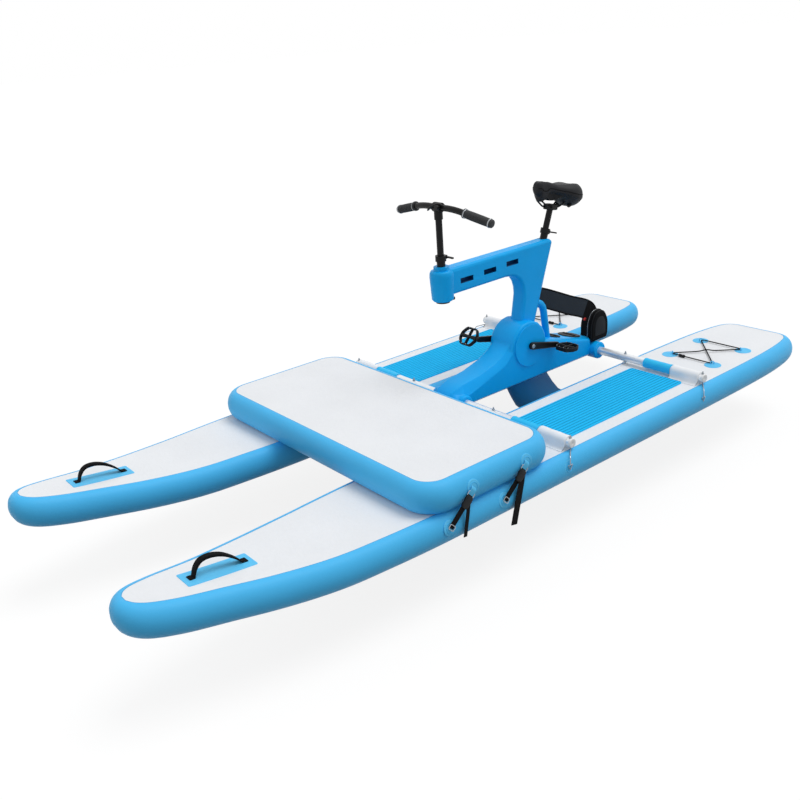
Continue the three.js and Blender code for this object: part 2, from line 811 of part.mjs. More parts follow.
// Pocket: a loop over the bar with a skirt down to the deck.
function barPocket(side, y) {
  const outer = barRadius + pocketWall;
  const shape = new THREE.Shape();
  const bottom = deckLevel + seatGap;
  const shoulder = bottom + pocketSkirtThickness;
  shape.moveTo(y - pocketSkirtHalfWidth, bottom);
  shape.lineTo(y + pocketSkirtHalfWidth, bottom);
  shape.lineTo(y + pocketSkirtHalfWidth, shoulder);
  shape.quadraticCurveTo(y + outer, shoulder + pocketSkirtThickness, y + outer, barLevel);
  shape.absarc(y, barLevel, outer, 0, Math.PI);
  shape.quadraticCurveTo(y - outer, shoulder + pocketSkirtThickness, y - pocketSkirtHalfWidth, shoulder);
  shape.closePath();
  const middle = side * (pocketStart + pocketLength / 2);
  const bore = boreRadius(barRadius);
  const reach = pocketLength / 2 + cutOverrun;
  return cut(
    slab(shape, pocketLength / 2, 0, middle),
    rod(bore, at(middle - reach, y, barLevel), at(middle + reach, y, barLevel)));
}

// Crossbar: a tube with end caps, a sleeve on each side, and holes for its pins.
function crossbar(y) {
  const half = barLength / 2;
  let bar = rod(barRadius, at(-half, y, barLevel), at(half, y, barLevel));
  for (const side of [-1, 1]) {
    const from = at(side * sleeveStart, y, barLevel);
    bar = joined(bar, rod(barRadius + sleeveWall, from, from.clone().setX(side * (sleeveStart + sleeveLength))));
  }
  const end = half - barCapLength;
  bar = cut(bar, rod(barRadius - barWall, at(-end, y, barLevel), at(end, y, barLevel)));
  for (const x of [-half + endPinInset, -innerPinX, innerPinX, half - endPinInset]) {
    const reach = barRadius + cutOverrun;
    bar = cut(bar, rod(
      boreRadius(pinRadius, smallSides), at(x, y, barLevel - reach), at(x, y, barLevel + reach), smallSides));
  }
  return bar;
}

// Pin through a bar, with a collar above the bar.
function pinThrough(x, y) {
  const top = barLevel + barRadius;
  const bottom = barLevel - barRadius - pinDrop;
  return joined(
    rod(pinRadius, at(x, y, bottom), at(x, y, top + pinRise), smallSides),
    rod(pinHeadRadius, at(x, y, top + seatGap), at(x, y, top + seatGap + pinHeadHeight), smallSides));
}

function barPin(side, y) {
  const x = side * innerPinX;
  const low = at(x, y - pinRingRadius, barLevel - barRadius - pinDrop + pinRingWire);
  return joined(pinThrough(x, y), torus(pinRingRadius, pinRingWire, low, new THREE.Euler()));
}

// Clip: an end pin, and a wire from it to a three-cornered ring that lies on the board's side.
function barClip(side, y) {
  const x = side * (barLength / 2 - endPinInset);
  const face = side * (sideFace + seatGap + clipWire);
  const low = barLevel - barRadius - pinDrop + clipWire;
  const ringY = y - clipForward;
  const hook = deckLevel - clipBelowDeck;
  const wire = bentPath([at(x, y, low), at(face, ringY, low - clipRingRadius), at(face, ringY, hook)], clipRingRadius);
  return joined(
    pinThrough(x, y),
    tube(wire, clipWire, cordSides),
    torus(clipRingRadius, clipWire, at(face, ringY, hook - clipRingRadius / 2), new THREE.Euler(0, Math.PI / 2, 0), 3));
}

function platform() {
  const rearY = platformFrontY + platformLength;
  const stations = [];
  for (const [first, y] of [[-1, platformFrontY + platformCorner], [0, rearY - platformCorner]]) {
    for (let i = 0; i <= platformCornerSteps; i += 1) {
      const angle = (Math.PI / 2) * (first + i / platformCornerSteps);
      const [nx, ny] = [Math.cos(angle), Math.sin(angle)];
      const x = platformHalfWidth - platformCorner * (1 - nx);
      stations.push({ x, y: y + platformCorner * ny, nx, ny });
    }
  }
  const slabSkin = inflated(stations, platformThickness, platformBulge, () => 0);
  slabSkin.translate(0, 0, deckLevel + seatGap);
  const pieces = [solid(slabSkin)];
  for (const side of [-1, 1]) {
    for (const y of strapYs) pieces.push(sidePatch(side, y, deckLevel + platformThickness / 2));
  }
  return joined(...pieces);
}

// Strap: a sewn band from the platform's patch to the board's, its buckle and its free tail.
function platformStrap(side, which) {
  const x = side * (sideFace + seatGap + strapThickness / 2);
  const top = at(x, strapYs[which], deckLevel + strapTopRise);
  const bottom = at(x, strapYs[which] - strapSweep, deckLevel - strapBottomDrop);
  const lean = THREE.MathUtils.degToRad(strapTailLeans[which]);
  const tail = at(0, Math.sin(lean), -Math.cos(lean)).multiplyScalar(strapTailLengths[which]);
  const buckleTop = top.clone().lerp(bottom, buckleShare);
  buckleTop.x = side * (sideFace + seatGap + buckleThickness / 2);
  const along = bottom.clone().sub(top).setLength(buckleLength);
  return joined(
    band([top, bottom], strapThickness, strapWidth, alongX),
    band([bottom, bottom.clone().add(tail)], strapThickness, strapTailWidths[which], alongX),
    band([buckleTop, buckleTop.clone().add(along)], buckleThickness, buckleWidth, alongX));
}

// Hull: its sections go from the bottom edge up the wall to the flat top and back.
function hull() {
  const rings = hullShares.map(([along, wall, flat, top]) => {
    const y = hullFrontY + hullLength * along;
    const half = [
      [hullHalfWidth - hullEdge, 0], [hullHalfWidth, hullEdge],
      [hullHalfWidth, wall * hullTopRise - hullEdge / 2],
      [hullHalfWidth - hullEdge / 3, wall * hullTopRise + hullEdge / 2],
      [hullHalfWidth * flat + hullEdge / 3, top * hullTopRise - hullEdge / 3],
      [hullHalfWidth * flat - hullEdge / 3, top * hullTopRise],
    ];
    const mirror = half.map(([x, z]) => [-x, z]).reverse();
    return [...half, ...mirror].map(([x, z]) => at(x, y, hullLevel + z));
  });
  return solid(loft(rings));
}

// A cylinder along X with rounded rims.
function boss(radius, halfLength, edge, y, z) {
  const profile = [[0, 0], [radius - edge, 0], [radius - edge * 0.3, edge * 0.3], [radius, edge]];
  const mirror = profile.map(([r, h]) => [r, 2 * halfLength - h]).reverse();
  return revolve([...profile, ...mirror], alongX, at(-halfLength, y, z), roundSides);
}

// Column and top beam in one outline, with the open throat between them.
function columnAndBeam() {
  const topSlope = (beamRearRise - beamTopRise) / beamRearY;
  const topAt = (y) => deckLevel + beamTopRise + topSlope * y;
  const throatY = waistY + throatLean;
  const underside = topAt(throatY) - beamDepth;
  const shape = new THREE.Shape();
  shape.moveTo(0, topAt(0) - beamDepth);
  shape.lineTo(throatY - throatRadius, underside);
  shape.quadraticCurveTo(throatY, underside, throatY, underside - throatRadius);
  shape.lineTo(waistY, deckLevel + waistRise);
  shape.lineTo(waistY, crankLevel);
  shape.lineTo(waistY + waistDepth, crankLevel);
  shape.lineTo(waistY + waistDepth, deckLevel + waistRise);
  shape.lineTo(beamRearY, topAt(beamRearY) - beamRearCorner);
  shape.quadraticCurveTo(beamRearY, topAt(beamRearY), beamRearY - beamRearCorner, topAt(beamRearY));
  shape.lineTo(0, topAt(0));
  shape.closePath();
  return slab(shape, frameHalfWidth, frameEdge);
}

function head() {
  const top = headHeight + headCollarHeight;
  const profile = [
    ...headShares.map(([r, h]) => [headRadius * r, headHeight * h]),
    [headCollarRadius, headHeight], [headCollarRadius, top], [0, top],
  ];
  return revolve(profile, alongZ, at(0, 0, deckLevel + headRise));
}

// Slope of the hull's tail deck, and the place on it at a distance along Y.
function tailDeck(y) {
  const [start, end] = hullShares.slice(-2);
  const rise = (end[3] - start[3]) * hullTopRise;
  const run = (end[0] - start[0]) * hullLength;
  const startY = hullFrontY + start[0] * hullLength;
  const level = hullLevel + start[3] * hullTopRise + ((y - startY) / run) * rise;
  return { place: at(0, y, level), normal: at(0, -rise, run).normalize() };
}

function bodyFrame() {
  const strut = bentPath(strutPoints.map(([y, z]) => at(0, y, deckLevel + z)), strutBend);
  const body = joined(
    hull(),
    boss(hubRadius, hubHalfWidth, hubEdge, crankY, crankLevel),
    boss(rearBossRadius, rearBossHalfLength, bossEdge, rearBarY, barLevel),
    boss(frontBossRadius, frontBossHalfLength, bossEdge, frontBarY, barLevel),
    columnAndBeam(),
    head(),
    tube(strut, strutRadius, roundSides));
  const tools = [frontBarY, rearBarY].map((y) => (
    rod(boreRadius(barRadius), at(-barLength / 2, y, barLevel), at(barLength / 2, y, barLevel))));
  const chamberReach = hubHalfWidth + cutOverrun;
  tools.push(rod(chamberRadius, at(-chamberReach, crankY, crankLevel), at(chamberReach, crankY, crankLevel)));
  tools.push(rod(boreRadius(driveShaftRadius), crankCentre, podCentre));
  tools.push(rod(
    boreRadius(stemOuterRadius), at(0, 0, deckLevel + headRise - cutOverrun), at(0, 0, headTop + cutOverrun)));
  tools.push(rod(
    boreRadius(seatTubeRadius), seatMouth.clone().addScaledVector(seatAxis, -seatTubeDepth - seatGap),
    seatMouth.clone().addScaledVector(seatAxis, seatTubeTop)));
  for (const side of [-1, 1]) {
    for (let i = 0; i < 3; i += 1) {
      const [inner, outer] = [side * (frameHalfWidth - slotDepth), side * (frameHalfWidth + cutOverrun)];
      const y = slotFirstY + i * slotPitch;
      const z = deckLevel + slotRise + i * slotClimb;
      tools.push(box(
        at(Math.min(inner, outer), y, z), at(Math.max(inner, outer), y + slotLength, z + slotHeight)));
    }
  }
  lidYs.forEach((y, i) => {
    const { place, normal } = tailDeck(y);
    const out = (distance) => place.clone().addScaledVector(normal, distance);
    tools.push(rod(boreRadius(lidRadii[i]), out(-lidSink), out(lidThickness + cutOverrun)));
    const depth = lidSink + lidSpigotDepth + seatGap;
    tools.push(rod(boreRadius(lidRadii[i] - lidSpigotInset), out(-depth), out(0)));
  });
  return cut(body, ...tools);
}

function lid(which) {
  const radius = lidRadii[which];
  const { place, normal } = tailDeck(lidYs[which]);
  const seat = seatGap - lidSink;
  const top = seat + lidThickness;
  const spigot = radius - lidSpigotInset;
  const disc = revolve([
    [0, -lidSink - lidSpigotDepth], [spigot, -lidSink - lidSpigotDepth], [spigot, seat], [radius, seat],
    [radius, top - lidSink / 2], [radius - lidSink / 2, top], [0, top],
  ], normal, place);
  const grip = new THREE.BoxGeometry(2 * radius * lidGripShare, 2 * lidGripHalfWidth, 2 * lidGripHeight);
  grip.applyQuaternion(new THREE.Quaternion().setFromUnitVectors(alongZ, normal));
  const middle = place.clone().addScaledVector(normal, top);
  grip.translate(middle.x, middle.y, middle.z);
  return joined(disc, solid(grip));
}

function hubCover(side) {
  const bore = boreRadius(axleRadius);
  const spigot = chamberRadius - 2 * seatGap;
  const top = coverThickness + coverBossHeight;
  const profile = [
    [bore, 0], [spigot - coverSpigotWall, 0], [spigot - coverSpigotWall, -coverSpigot], [spigot, -coverSpigot],
    [spigot, 0], [coverRadius, 0], [coverRadius, coverThickness - coverEdge],
    [coverRadius - coverEdge, coverThickness], [coverBossRadius, coverThickness], [coverBossRadius - coverEdge, top],
    [bore, top], [bore, 0],
  ];
  return revolve(profile, at(side, 0, 0), at(side * (hubHalfWidth + seatGap), crankY, crankLevel));
}

// Bevel gear whose teeth run to the apex of its pitch cone. Each ring has four points per tooth.
function bevelGear(teeth, pitchAngle, coneDistance, face, axis, apex, toward, phase, boreShaft = 0) {
  const pitchRadius = coneDistance * Math.sin(pitchAngle);
  const gearModule = (2 * pitchRadius) / teeth;
  const place = (height, scale) => [
    scale * (pitchRadius + height * Math.cos(pitchAngle)),
    scale * (coneDistance * Math.cos(pitchAngle) - height * Math.sin(pitchAngle)),
  ];
  const [tip, root] = [addendumShare * gearModule, -dedendumShare * gearModule];
  const scales = [(coneDistance - face) / coneDistance, 1];
  const basis = new THREE.Matrix4().makeBasis(toward, new THREE.Vector3().crossVectors(axis, toward), axis);
  const positions = [];
  const index = [];
  const pitch = (2 * Math.PI) / teeth;
  for (const scale of scales) {
    for (let tooth = 0; tooth < teeth; tooth += 1) {
      for (const [share, height] of [[-toothRootShare, root], [-toothTipShare, tip], [toothTipShare, tip], [toothRootShare, root]]) {
        const [radius, axial] = place(height, scale);
        const angle = (tooth + phase + share) * pitch;
        positions.push(radius * Math.cos(angle), radius * Math.sin(angle), axial);
      }
    }
  }
  const count = 4 * teeth;
  const hubs = scales.map((scale) => {
    positions.push(0, 0, place(root, scale)[1]);
    return positions.length / 3 - 1;
  });
  for (let j = 0; j < count; j += 1) {
    const next = (j + 1) % count;
    index.push(j, next, count + j, next, count + next, count + j);
  }
  for (let j = 0; j < count; j += 4) {
    const after = (j + 4) % count;
    index.push(j + 1, j, j + 2, j, j + 3, j + 2, j + 3, j, hubs[0], after, j + 3, hubs[0]);
    const k = count + j;
    index.push(k, k + 1, k + 2, k, k + 2, k + 3, k, k + 3, hubs[1], k + 3, count + after, hubs[1]);
  }
  const gear = outward(meshOf(positions, index)).applyMatrix4(basis).translate(apex.x, apex.y, apex.z);
  const [rootRadius, rootAxial] = place(root, 1);
  const along = (distance) => apex.clone().addScaledVector(axis, distance);
  const web = rod(rootRadius - weldOverlap, along(rootAxial - weldOverlap), along(rootAxial + gearWeb));
  const whole = joined(solid(gear), web);
  if (boreShaft === 0) return whole;
  const hub = rod(boreShaft + gearHubWall, along(rootAxial), along(rootAxial + 2 * gearWeb));
  return cut(joined(whole, hub), rod(boreRadius(boreShaft), apex, along(coneDistance)));
}

// Pitch cone angle of a gear that meshes with another across an angle between their shafts.
function pitchAngle(teeth, otherTeeth, shaftAngle) {
  return Math.atan2(Math.sin(shaftAngle), otherTeeth / teeth + Math.cos(shaftAngle));
}

function crankGear() {
  const angle = pitchAngle(topGearTeeth, topPinionTeeth, Math.PI / 2);
  return bevelGear(
    topGearTeeth, angle, topConeDistance, topFace, alongX, crankCentre, driveDirection, 0, axleRadius);
}

function driveShaft() {
  const topAngle = pitchAngle(topPinionTeeth, topGearTeeth, Math.PI / 2);
  const pinion = bevelGear(
    topPinionTeeth, topAngle, topConeDistance, topFace, driveDirection, crankCentre, alongX, 0.5);
  const up = driveDirection.clone().negate();
  const shaftAngle = up.angleTo(alongY);
  const lowAngle = pitchAngle(lowGearTeeth, lowPinionTeeth, shaftAngle);
  const toward = alongY.clone().addScaledVector(up, -up.dot(alongY)).normalize();
  const gear = bevelGear(lowGearTeeth, lowAngle, lowConeDistance, lowFace, up, podCentre, toward, 0);
  const start = crankCentre.clone().addScaledVector(driveDirection, topConeDistance);
  const shaft = rod(driveShaftRadius, start, podCentre.clone().addScaledVector(up, lowFace + weldOverlap));
  return joined(pinion, gear, shaft);
}

function propShaft() {
  const shaftAngle = driveDirection.clone().negate().angleTo(alongY);
  const angle = pitchAngle(lowPinionTeeth, lowGearTeeth, shaftAngle);
  const pinion = bevelGear(
    lowPinionTeeth, angle, lowConeDistance, lowFace, alongY, podCentre, alongZ, 0.5);
  const end = at(0, propFrontY + propHubLength * propBoreShare - seatGap, podLevel);
  return joined(pinion, rod(propShaftRadius, podCentre.clone().addScaledVector(alongY, lowConeDistance), end));
}

function crankArm(side) {
  const turn = THREE.MathUtils.degToRad(side > 0 ? crankAngle : 180 + crankAngle);
  const shape = new THREE.Shape();
  const lean = Math.asin((armRootRadius - armTipRadius) / armLength);
  shape.absarc(0, 0, armRootRadius, Math.PI / 2 - lean, 1.5 * Math.PI + lean);
  shape.absarc(armLength, 0, armTipRadius, lean - Math.PI / 2, Math.PI / 2 - lean);
  shape.closePath();
  const middle = side * (armX + armThickness / 2);
  const arm = geometryOf(slab(shape, armThickness / 2, armEdge, middle, 1, 8));
  arm.rotateX(turn).translate(0, crankY, crankLevel);
  const eye = pedalCentre(side);
  const inner = eye.clone().setX(middle);
  const axleEnd = eye.clone().setX(side * (pedalX + pedalHalfLength - pedalRim));
  const bore = rod(
    boreRadius(axleRadius), at(side * (armX - cutOverrun), crankY, crankLevel),
    at(side * (armX + armThickness + cutOverrun), crankY, crankLevel));
  return joined(cut(solid(arm), bore), rod(pedalAxleRadius, inner, axleEnd));
}

function pedalCentre(side) {
  const turn = THREE.MathUtils.degToRad(crankAngle);
  const reach = side * armLength;
  return at(side * pedalX, crankY + reach * Math.cos(turn), crankLevel + reach * Math.sin(turn));
}

// Pedal: a six-sided open cage round a barrel on the axle.
function pedal(side) {
  const [long, wide] = [pedalHalfLength, pedalHalfWidth];
  const nose = long * pedalNoseShare;
  const rim = (inset) => [
    [long - inset, -wide / 3], [long - inset, wide / 3], [nose - inset / 2, wide - inset],
    [inset / 2 - nose, wide - inset], [inset - long, wide / 3], [inset - long, -wide / 3],
    [inset / 2 - nose, inset - wide], [nose - inset / 2, inset - wide],
  ];
  const cage = cut(
    plate(outline(rim(0)), -pedalThickness / 2, pedalThickness),
    plate(outline(rim(pedalRim)), -pedalThickness, 2 * pedalThickness));
  const barrel = rod(pedalBarrelRadius, at(weldOverlap - long, 0, 0), at(long - weldOverlap, 0, 0), smallSides);
  const rib = box(
    at(-pedalRim / 3, weldOverlap - wide, -pedalThickness / 2), at(pedalRim / 3, wide - weldOverlap, pedalThickness / 2));
  const bore = rod(
    boreRadius(pedalAxleRadius), at(-long * side - cutOverrun * side, 0, 0), at(side * (long - pedalRim / 2), 0, 0));
  const tilt = THREE.MathUtils.degToRad(side > 0 ? pedalTilts[0] : pedalTilts[1]);
  const centre = pedalCentre(side);
  return geometryOf(cut(joined(cage, rib, barrel), bore)).rotateX(tilt).translate(centre.x, centre.y, centre.z);
}

// Drive leg: foil sections down to the pod, a fin to the shoe, and bores for shafts and bolt.
function driveLeg() {
  const top = hullLevel - seatGap;
  const rings = legShares.map(([depth, front, rear]) => {
    const side = foilShares.map(([along, thick]) => [legHalfWidth * thick, front + (rear - front) * along]);
    const mirror = side.map(([x, share]) => [-x, share]).reverse();
    const z = top - depth * (top - podLevel);
    return [...side, ...mirror].map(([x, share]) => at(x, podCentre.y + podLength * share, z));
  });
  const pod = revolve(
    podShares.map(([r, along]) => [podRadius * r, podLength * along]), alongY, at(0, podFrontY, podLevel));
  const [finFront, finMiddle, finRear] = skegShares.map((share) => podFrontY + podLength * share);
  const shoeEnd = rudderY + shoeHalfWidth;
  const fin = slab(outline([
    [finFront, podLevel - podRadius / 2], [finMiddle, shoeThickness / 2], [finRear, shoeThickness / 2],
    [finRear, podLevel - podRadius / 2],
  ]), skegHalfWidth, shoeEdge, 0, 1);
  const shoe = slab(outline([
    [finMiddle - shoeThickness, shoeThickness / 2], [finMiddle, 0], [shoeEnd, 0], [shoeEnd, shoeThickness],
    [finMiddle, shoeThickness],
  ]), shoeHalfWidth, 0);
  const boltPlace = legBoltPlace();
  const boltTools = [-1, 1].map((side) => rod(
    boreRadius(legBoltHeadRadius), boltPlace.clone().setX(side * legBoltSeat),
    boltPlace.clone().setX(side * (legHalfWidth + cutOverrun))));
  const boltReach = legHalfWidth + cutOverrun;
  const [cavityStart, cavityEnd] = podCavityShares.map((share) => podCentre.y + podLength * share);
  return cut(
    joined(solid(loft(rings)), pod, fin, shoe),
    rod(podCavityRadius, at(0, cavityStart, podLevel), at(0, cavityEnd, podLevel)),
    rod(boreRadius(driveShaftRadius), crankCentre, podCentre),
    rod(boreRadius(propShaftRadius), podCentre, at(0, podRearY + cutOverrun, podLevel)),
    rod(boreRadius(legBoltRadius), boltPlace.clone().setX(-boltReach), boltPlace.clone().setX(boltReach)),
    rod(boreRadius(rudderPinRadius), at(0, rudderY, -cutOverrun), at(0, rudderY, shoeThickness + cutOverrun)),
    ...boltTools);
}

// The bolt crosses the leg behind the drive shaft.
function legBoltPlace() {
  const shaftY = crankY + (crankRise + legBoltDrop) * Math.tan(driveAngle);
  return at(0, shaftY + legBoltBehindShaft, deckLevel - legBoltDrop);
}

function legBolt() {
  const place = legBoltPlace();
  const seat = legBoltSeat + seatGap;
  const pieces = [rod(legBoltRadius, place.clone().setX(-seat), place.clone().setX(seat))];
  for (const side of [-1, 1]) {
    pieces.push(revolve([
      [0, -weldOverlap], [legBoltRadius, -weldOverlap], [legBoltRadius, 0], [legBoltHeadRadius, 0],
      [legBoltHeadRadius, legBoltHeadHeight / 2], [legBoltHeadRadius / 2, legBoltHeadHeight], [0, legBoltHeadHeight],
    ], at(side, 0, 0), place.clone().setX(side * seat)));
  }
  return joined(...pieces);
}

function propeller() {
  const hub = revolve(
    propHubShares.map(([r, along]) => [propHubRadius * r, propHubLength * along]), alongY, at(0, propFrontY, podLevel));
  const middle = at(0, propFrontY + propHubLength / 2, podLevel);
  const pieces = [hub];
  for (const side of [-1, 1]) {
    const rings = bladeShares.map(([out, wide]) => {
      const radius = propRadius * out;
      const twist = Math.atan2(propPitch, 2 * Math.PI * radius);
      const chord = at(0, -Math.sin(twist), side * Math.cos(twist));
      const normal = at(0, Math.cos(twist), side * Math.sin(twist));
      return bladeSectionShares.map(([along, thick]) => middle.clone()
        .addScaledVector(alongX, side * radius)
        .addScaledVector(chord, (along * wide * propChord) / 2)
        .addScaledVector(normal, (thick * propBladeThickness) / 2));
    });
    pieces.push(solid(loft(rings)));
  }
  const bore = rod(
    boreRadius(propShaftRadius), at(0, propFrontY - cutOverrun, podLevel),
    at(0, propFrontY + propHubLength * propBoreShare, podLevel));
  return cut(joined(...pieces), bore);
}

function rudder() {
  const bottom = shoeThickness + seatGap;
  const front = rudderY - rudderChord * rudderLeadShare;
  const shape = roundedRectangle(front, bottom, front + rudderChord, bottom + rudderHeight, rudderCorner);
  return joined(
    slab(shape, rudderHalfThickness, rudderEdge, 0, 2, 3),
    rod(rudderPinRadius, at(0, rudderY, weldOverlap), at(0, rudderY, bottom + rudderCorner)));
}

// Clamp collar round the top of a tube, with two ears for its lever; axis and place as given.
function clampCollar(tubeRadius, innerRadius, axis, top) {
  const [bore, lipBore] = [boreRadius(tubeRadius), boreRadius(innerRadius)];
  const outer = tubeRadius + collarWall;
  const lip = collarHeight - collarLip;
  const ringPiece = revolve([
    [bore, 0], [outer, 0], [outer, collarHeight], [lipBore, collarHeight], [lipBore, lip], [bore, lip], [bore, 0],
  ], alongZ, at(0, 0, 0));
  const pieces = [ringPiece];
  const stack = leverThickness / 2 + seatGap;
  for (const side of [-1, 1]) {
    const [near, far] = [side * stack, side * (stack + earThickness)];
    const level = collarHeight / 2 + Math.min(near, far);
    const ear = new THREE.Shape();
    ear.moveTo(-earRadius, tubeRadius + collarWall / 2);
    ear.lineTo(earRadius, tubeRadius + collarWall / 2);
    ear.absarc(0, outer + earLength - earRadius, earRadius, 0, Math.PI);
    ear.closePath();
    pieces.push(plate(ear, level, earThickness));
  }
  const pivot = outer + earLength - earRadius;
  const hole = rod(
    boreRadius(leverPinRadius, smallSides), at(0, pivot, -cutOverrun), at(0, pivot, collarHeight + cutOverrun),
    smallSides);
  const slot = box(at(-outer, outer, collarHeight / 2 - stack), at(outer, outer + earLength, collarHeight / 2 + stack));
  return placed(cut(joined(...pieces), hole, slot), axis, top);
}

// Moves a collar or its lever from the frame of a tube's top to the tube.
function placed(piece, axis, top) {
  const base = top.clone().addScaledVector(axis, collarLip + seatGap - collarHeight);
  const turn = new THREE.Quaternion().setFromUnitVectors(alongZ, axis);
  return geometryOf(piece).applyQuaternion(turn).translate(base.x, base.y, base.z);
}

function clampLever(tubeRadius, axis, top) {
  const pivot = tubeRadius + collarWall + earLength - earRadius;
  const middle = collarHeight / 2;
  const shape = new THREE.Shape();
  shape.absarc(0, pivot, leverRadius, Math.PI / 2, 1.5 * Math.PI);
  shape.absarc(leverLength, pivot, leverRadius, -Math.PI / 2, Math.PI / 2);
  shape.closePath();
  const reach = leverThickness / 2 + earThickness;
  return placed(joined(
    plate(shape, middle - leverThickness / 2, leverThickness),
    rod(leverPinRadius, at(0, pivot, middle - reach), at(0, pivot, middle + reach), smallSides)), axis, top);
}

function steeringCap() {
  const top = deckLevel + headRise - seatGap;
  const arm = new THREE.Shape();
  arm.moveTo(-capArmHalfWidth, 0);
  arm.lineTo(capArmHalfWidth, 0);
  arm.absarc(0, capArmLength - capArmHalfWidth, capArmHalfWidth, 0, Math.PI);
  arm.closePath();
  return cut(
    joined(
      rod(capRadius, at(0, 0, top - capHeight), at(0, 0, top)),
      plate(arm, top - capHeight, capHeight)),
    rod(boreRadius(stemOuterRadius), at(0, 0, top - capHeight - cutOverrun), at(0, 0, top + cutOverrun)));
}

// One end of the handlebar: the corner of its bend, its tip, and its direction there.
function handlebarEnd(side) {
  const knee = at(side * (handlebarFlat + handlebarBend), 0, handlebarLevel);
  const tip = at(side * handlebarHalfWidth, handlebarSweep, handlebarLevel - handlebarDrop);
  return { knee, tip, direction: tip.clone().sub(knee).normalize() };
}

function handlebar() {
  const [left, right] = [1, -1].map(handlebarEnd);
  return tube(bentPath([left.tip, left.knee, right.knee, right.tip], handlebarBend), barTubeRadius, roundSides);
}

function grip(side) {
  const { tip, direction } = handlebarEnd(side);
  const bore = boreRadius(barTubeRadius);
  const end = gripLength + gripEnd;
  const profile = [
    [bore, 0], [gripFlangeRadius, 0], [gripFlangeRadius, gripFlangeLength], [gripRadius, gripFlangeLength],
    [gripRadius, end - gripFlangeLength], [gripFlangeRadius - gripEnd / 2, end - gripFlangeLength],
    [gripFlangeRadius - gripEnd / 2, end], [0, end], [0, gripLength + seatGap], [bore, gripLength + seatGap], [bore, 0],
  ];
  return revolve(profile, direction, tip.clone().addScaledVector(direction, -gripLength));
}

function barClamp() {
  const neckBottom = stemTop - clampNeckLength;
  return cut(
    joined(
      boss(clampRadius, clampHalfWidth, clampWeb, 0, handlebarLevel),
      rod(clampNeckRadius, at(0, 0, neckBottom), at(0, 0, handlebarLevel))),
    rod(
      boreRadius(barTubeRadius), at(-handlebarFlat, 0, handlebarLevel), at(handlebarFlat, 0, handlebarLevel)),
    rod(boreRadius(stemInnerRadius), at(0, 0, neckBottom - cutOverrun), at(0, 0, stemTop + seatGap)));
}

// Saddle rail: two rails joined round the nose, their ends rising to the rear.
function saddleRail(radius, endSlack) {
  const side = [
    [railHalfSpacing * railSpread, railReach + endSlack, railRise], [railHalfSpacing, railStraight, 0],
    [railHalfSpacing, -railStraight, 0], [railNoseHalfWidth, -railNoseReach, railRise],
  ];
  const mirror = side.map(([x, y, z]) => [-x, y, z]).reverse();
  return tube(bentPath([...side, ...mirror].map(([x, y, z]) => at(x, y, z)), railBend), radius, cordSides);
}

// Moves a piece from the saddle's own frame to the seat post's head, tipped with the saddle.
function onSeatHead(piece) {
  const tilt = -THREE.MathUtils.degToRad(saddleTilt);
  return geometryOf(piece).rotateX(tilt).translate(seatHead.x, seatHead.y, seatHead.z);
}

function seatPost() {
  const bottom = seatMouth.clone().addScaledVector(seatAxis, seatTubeTop - seatPostOverlap);
  const half = seatHeadHeight / 2;
  const shape = roundedRectangle(-seatHeadHalfLength, -half, seatHeadHalfLength, half, seatHeadEdge);
  let block = slab(shape, seatHeadHalfWidth, seatHeadEdge / 2, 0, 1, 2);
  for (const side of [-1, 1]) {
    const x = side * railHalfSpacing;
    const bore = boreRadius(railRadius, cordSides);
    block = cut(block, rod(bore, at(x, -railStraight, 0), at(x, railStraight, 0), cordSides));
  }
  const shaft = rod(seatPostRadius, bottom, seatHead.clone().addScaledVector(seatAxis, -half));
  return joined(shaft, solid(onSeatHead(block)));
}

function saddle() {
  const [wide, low] = [0, 1].map((which) => new THREE.CatmullRomCurve3(saddleShares.map(([along, half, top, bottom]) => (
    which === 0 ? at(along, half, top) : at(along, bottom, 0)))));
  const rings = [];
  for (let i = 0; i <= saddleSteps; i += 1) {
    const { x: along, y: half, z: top } = wide.getPoint(i / saddleSteps);
    const bottom = low.getPoint(i / saddleSteps).y;
    const waist = bottom + (top - bottom) * saddleWaistShare;
    const ringPoints = [];
    for (let j = 0; j < saddleSides; j += 1) {
      const angle = (2 * Math.PI * (j + 0.5)) / saddleSides;
      const [across, up] = [Math.cos(angle), Math.sin(angle)];
      const tuck = up < 0 ? 1 + saddleTuckShare * up : 1;
      const dip = saddleDipShare * (top - bottom) * Math.max(0, 1 - (across / saddleDipHalfShare) ** 2);
      const height = up > 0 ? waist + (top - waist) * up ** saddleCrownPower - dip : waist + (waist - bottom) * up;
      const x = saddleHalfWidth * half * Math.sign(across) * Math.abs(across) ** saddleSidePower * tuck;
      ringPoints.push(at(x, saddleLength * (along - saddleFrontShare), saddleHeight * height));
    }
    rings.push(ringPoints);
  }
  return solid(loft(rings));
}

// Belt pack: a stiff waist belt from beside the strut, curling down into its pouch.
function beltPack() {
  const beside = -(strutRadius + seatGap + beltThickness / 2);
  const path = smoothPath(beltPoints.map(([across, y, z]) => (
    at(beside + (pouchX - beside) * across, y, deckLevel + z))), beltSteps);
  const front = hullFrontY + hullLength + pouchFrontGap;
  const bottom = barLevel + rearBossRadius + seatGap;
  const shape = outline(pouchShares.map(([across, up]) => [front + pouchDepth * across, bottom + pouchHeight * up]));
  return joined(
    band(path, beltThickness, beltHeight, alongX),
    slab(shape, pouchHalfWidth, pouchEdge, pouchX, 2));
}

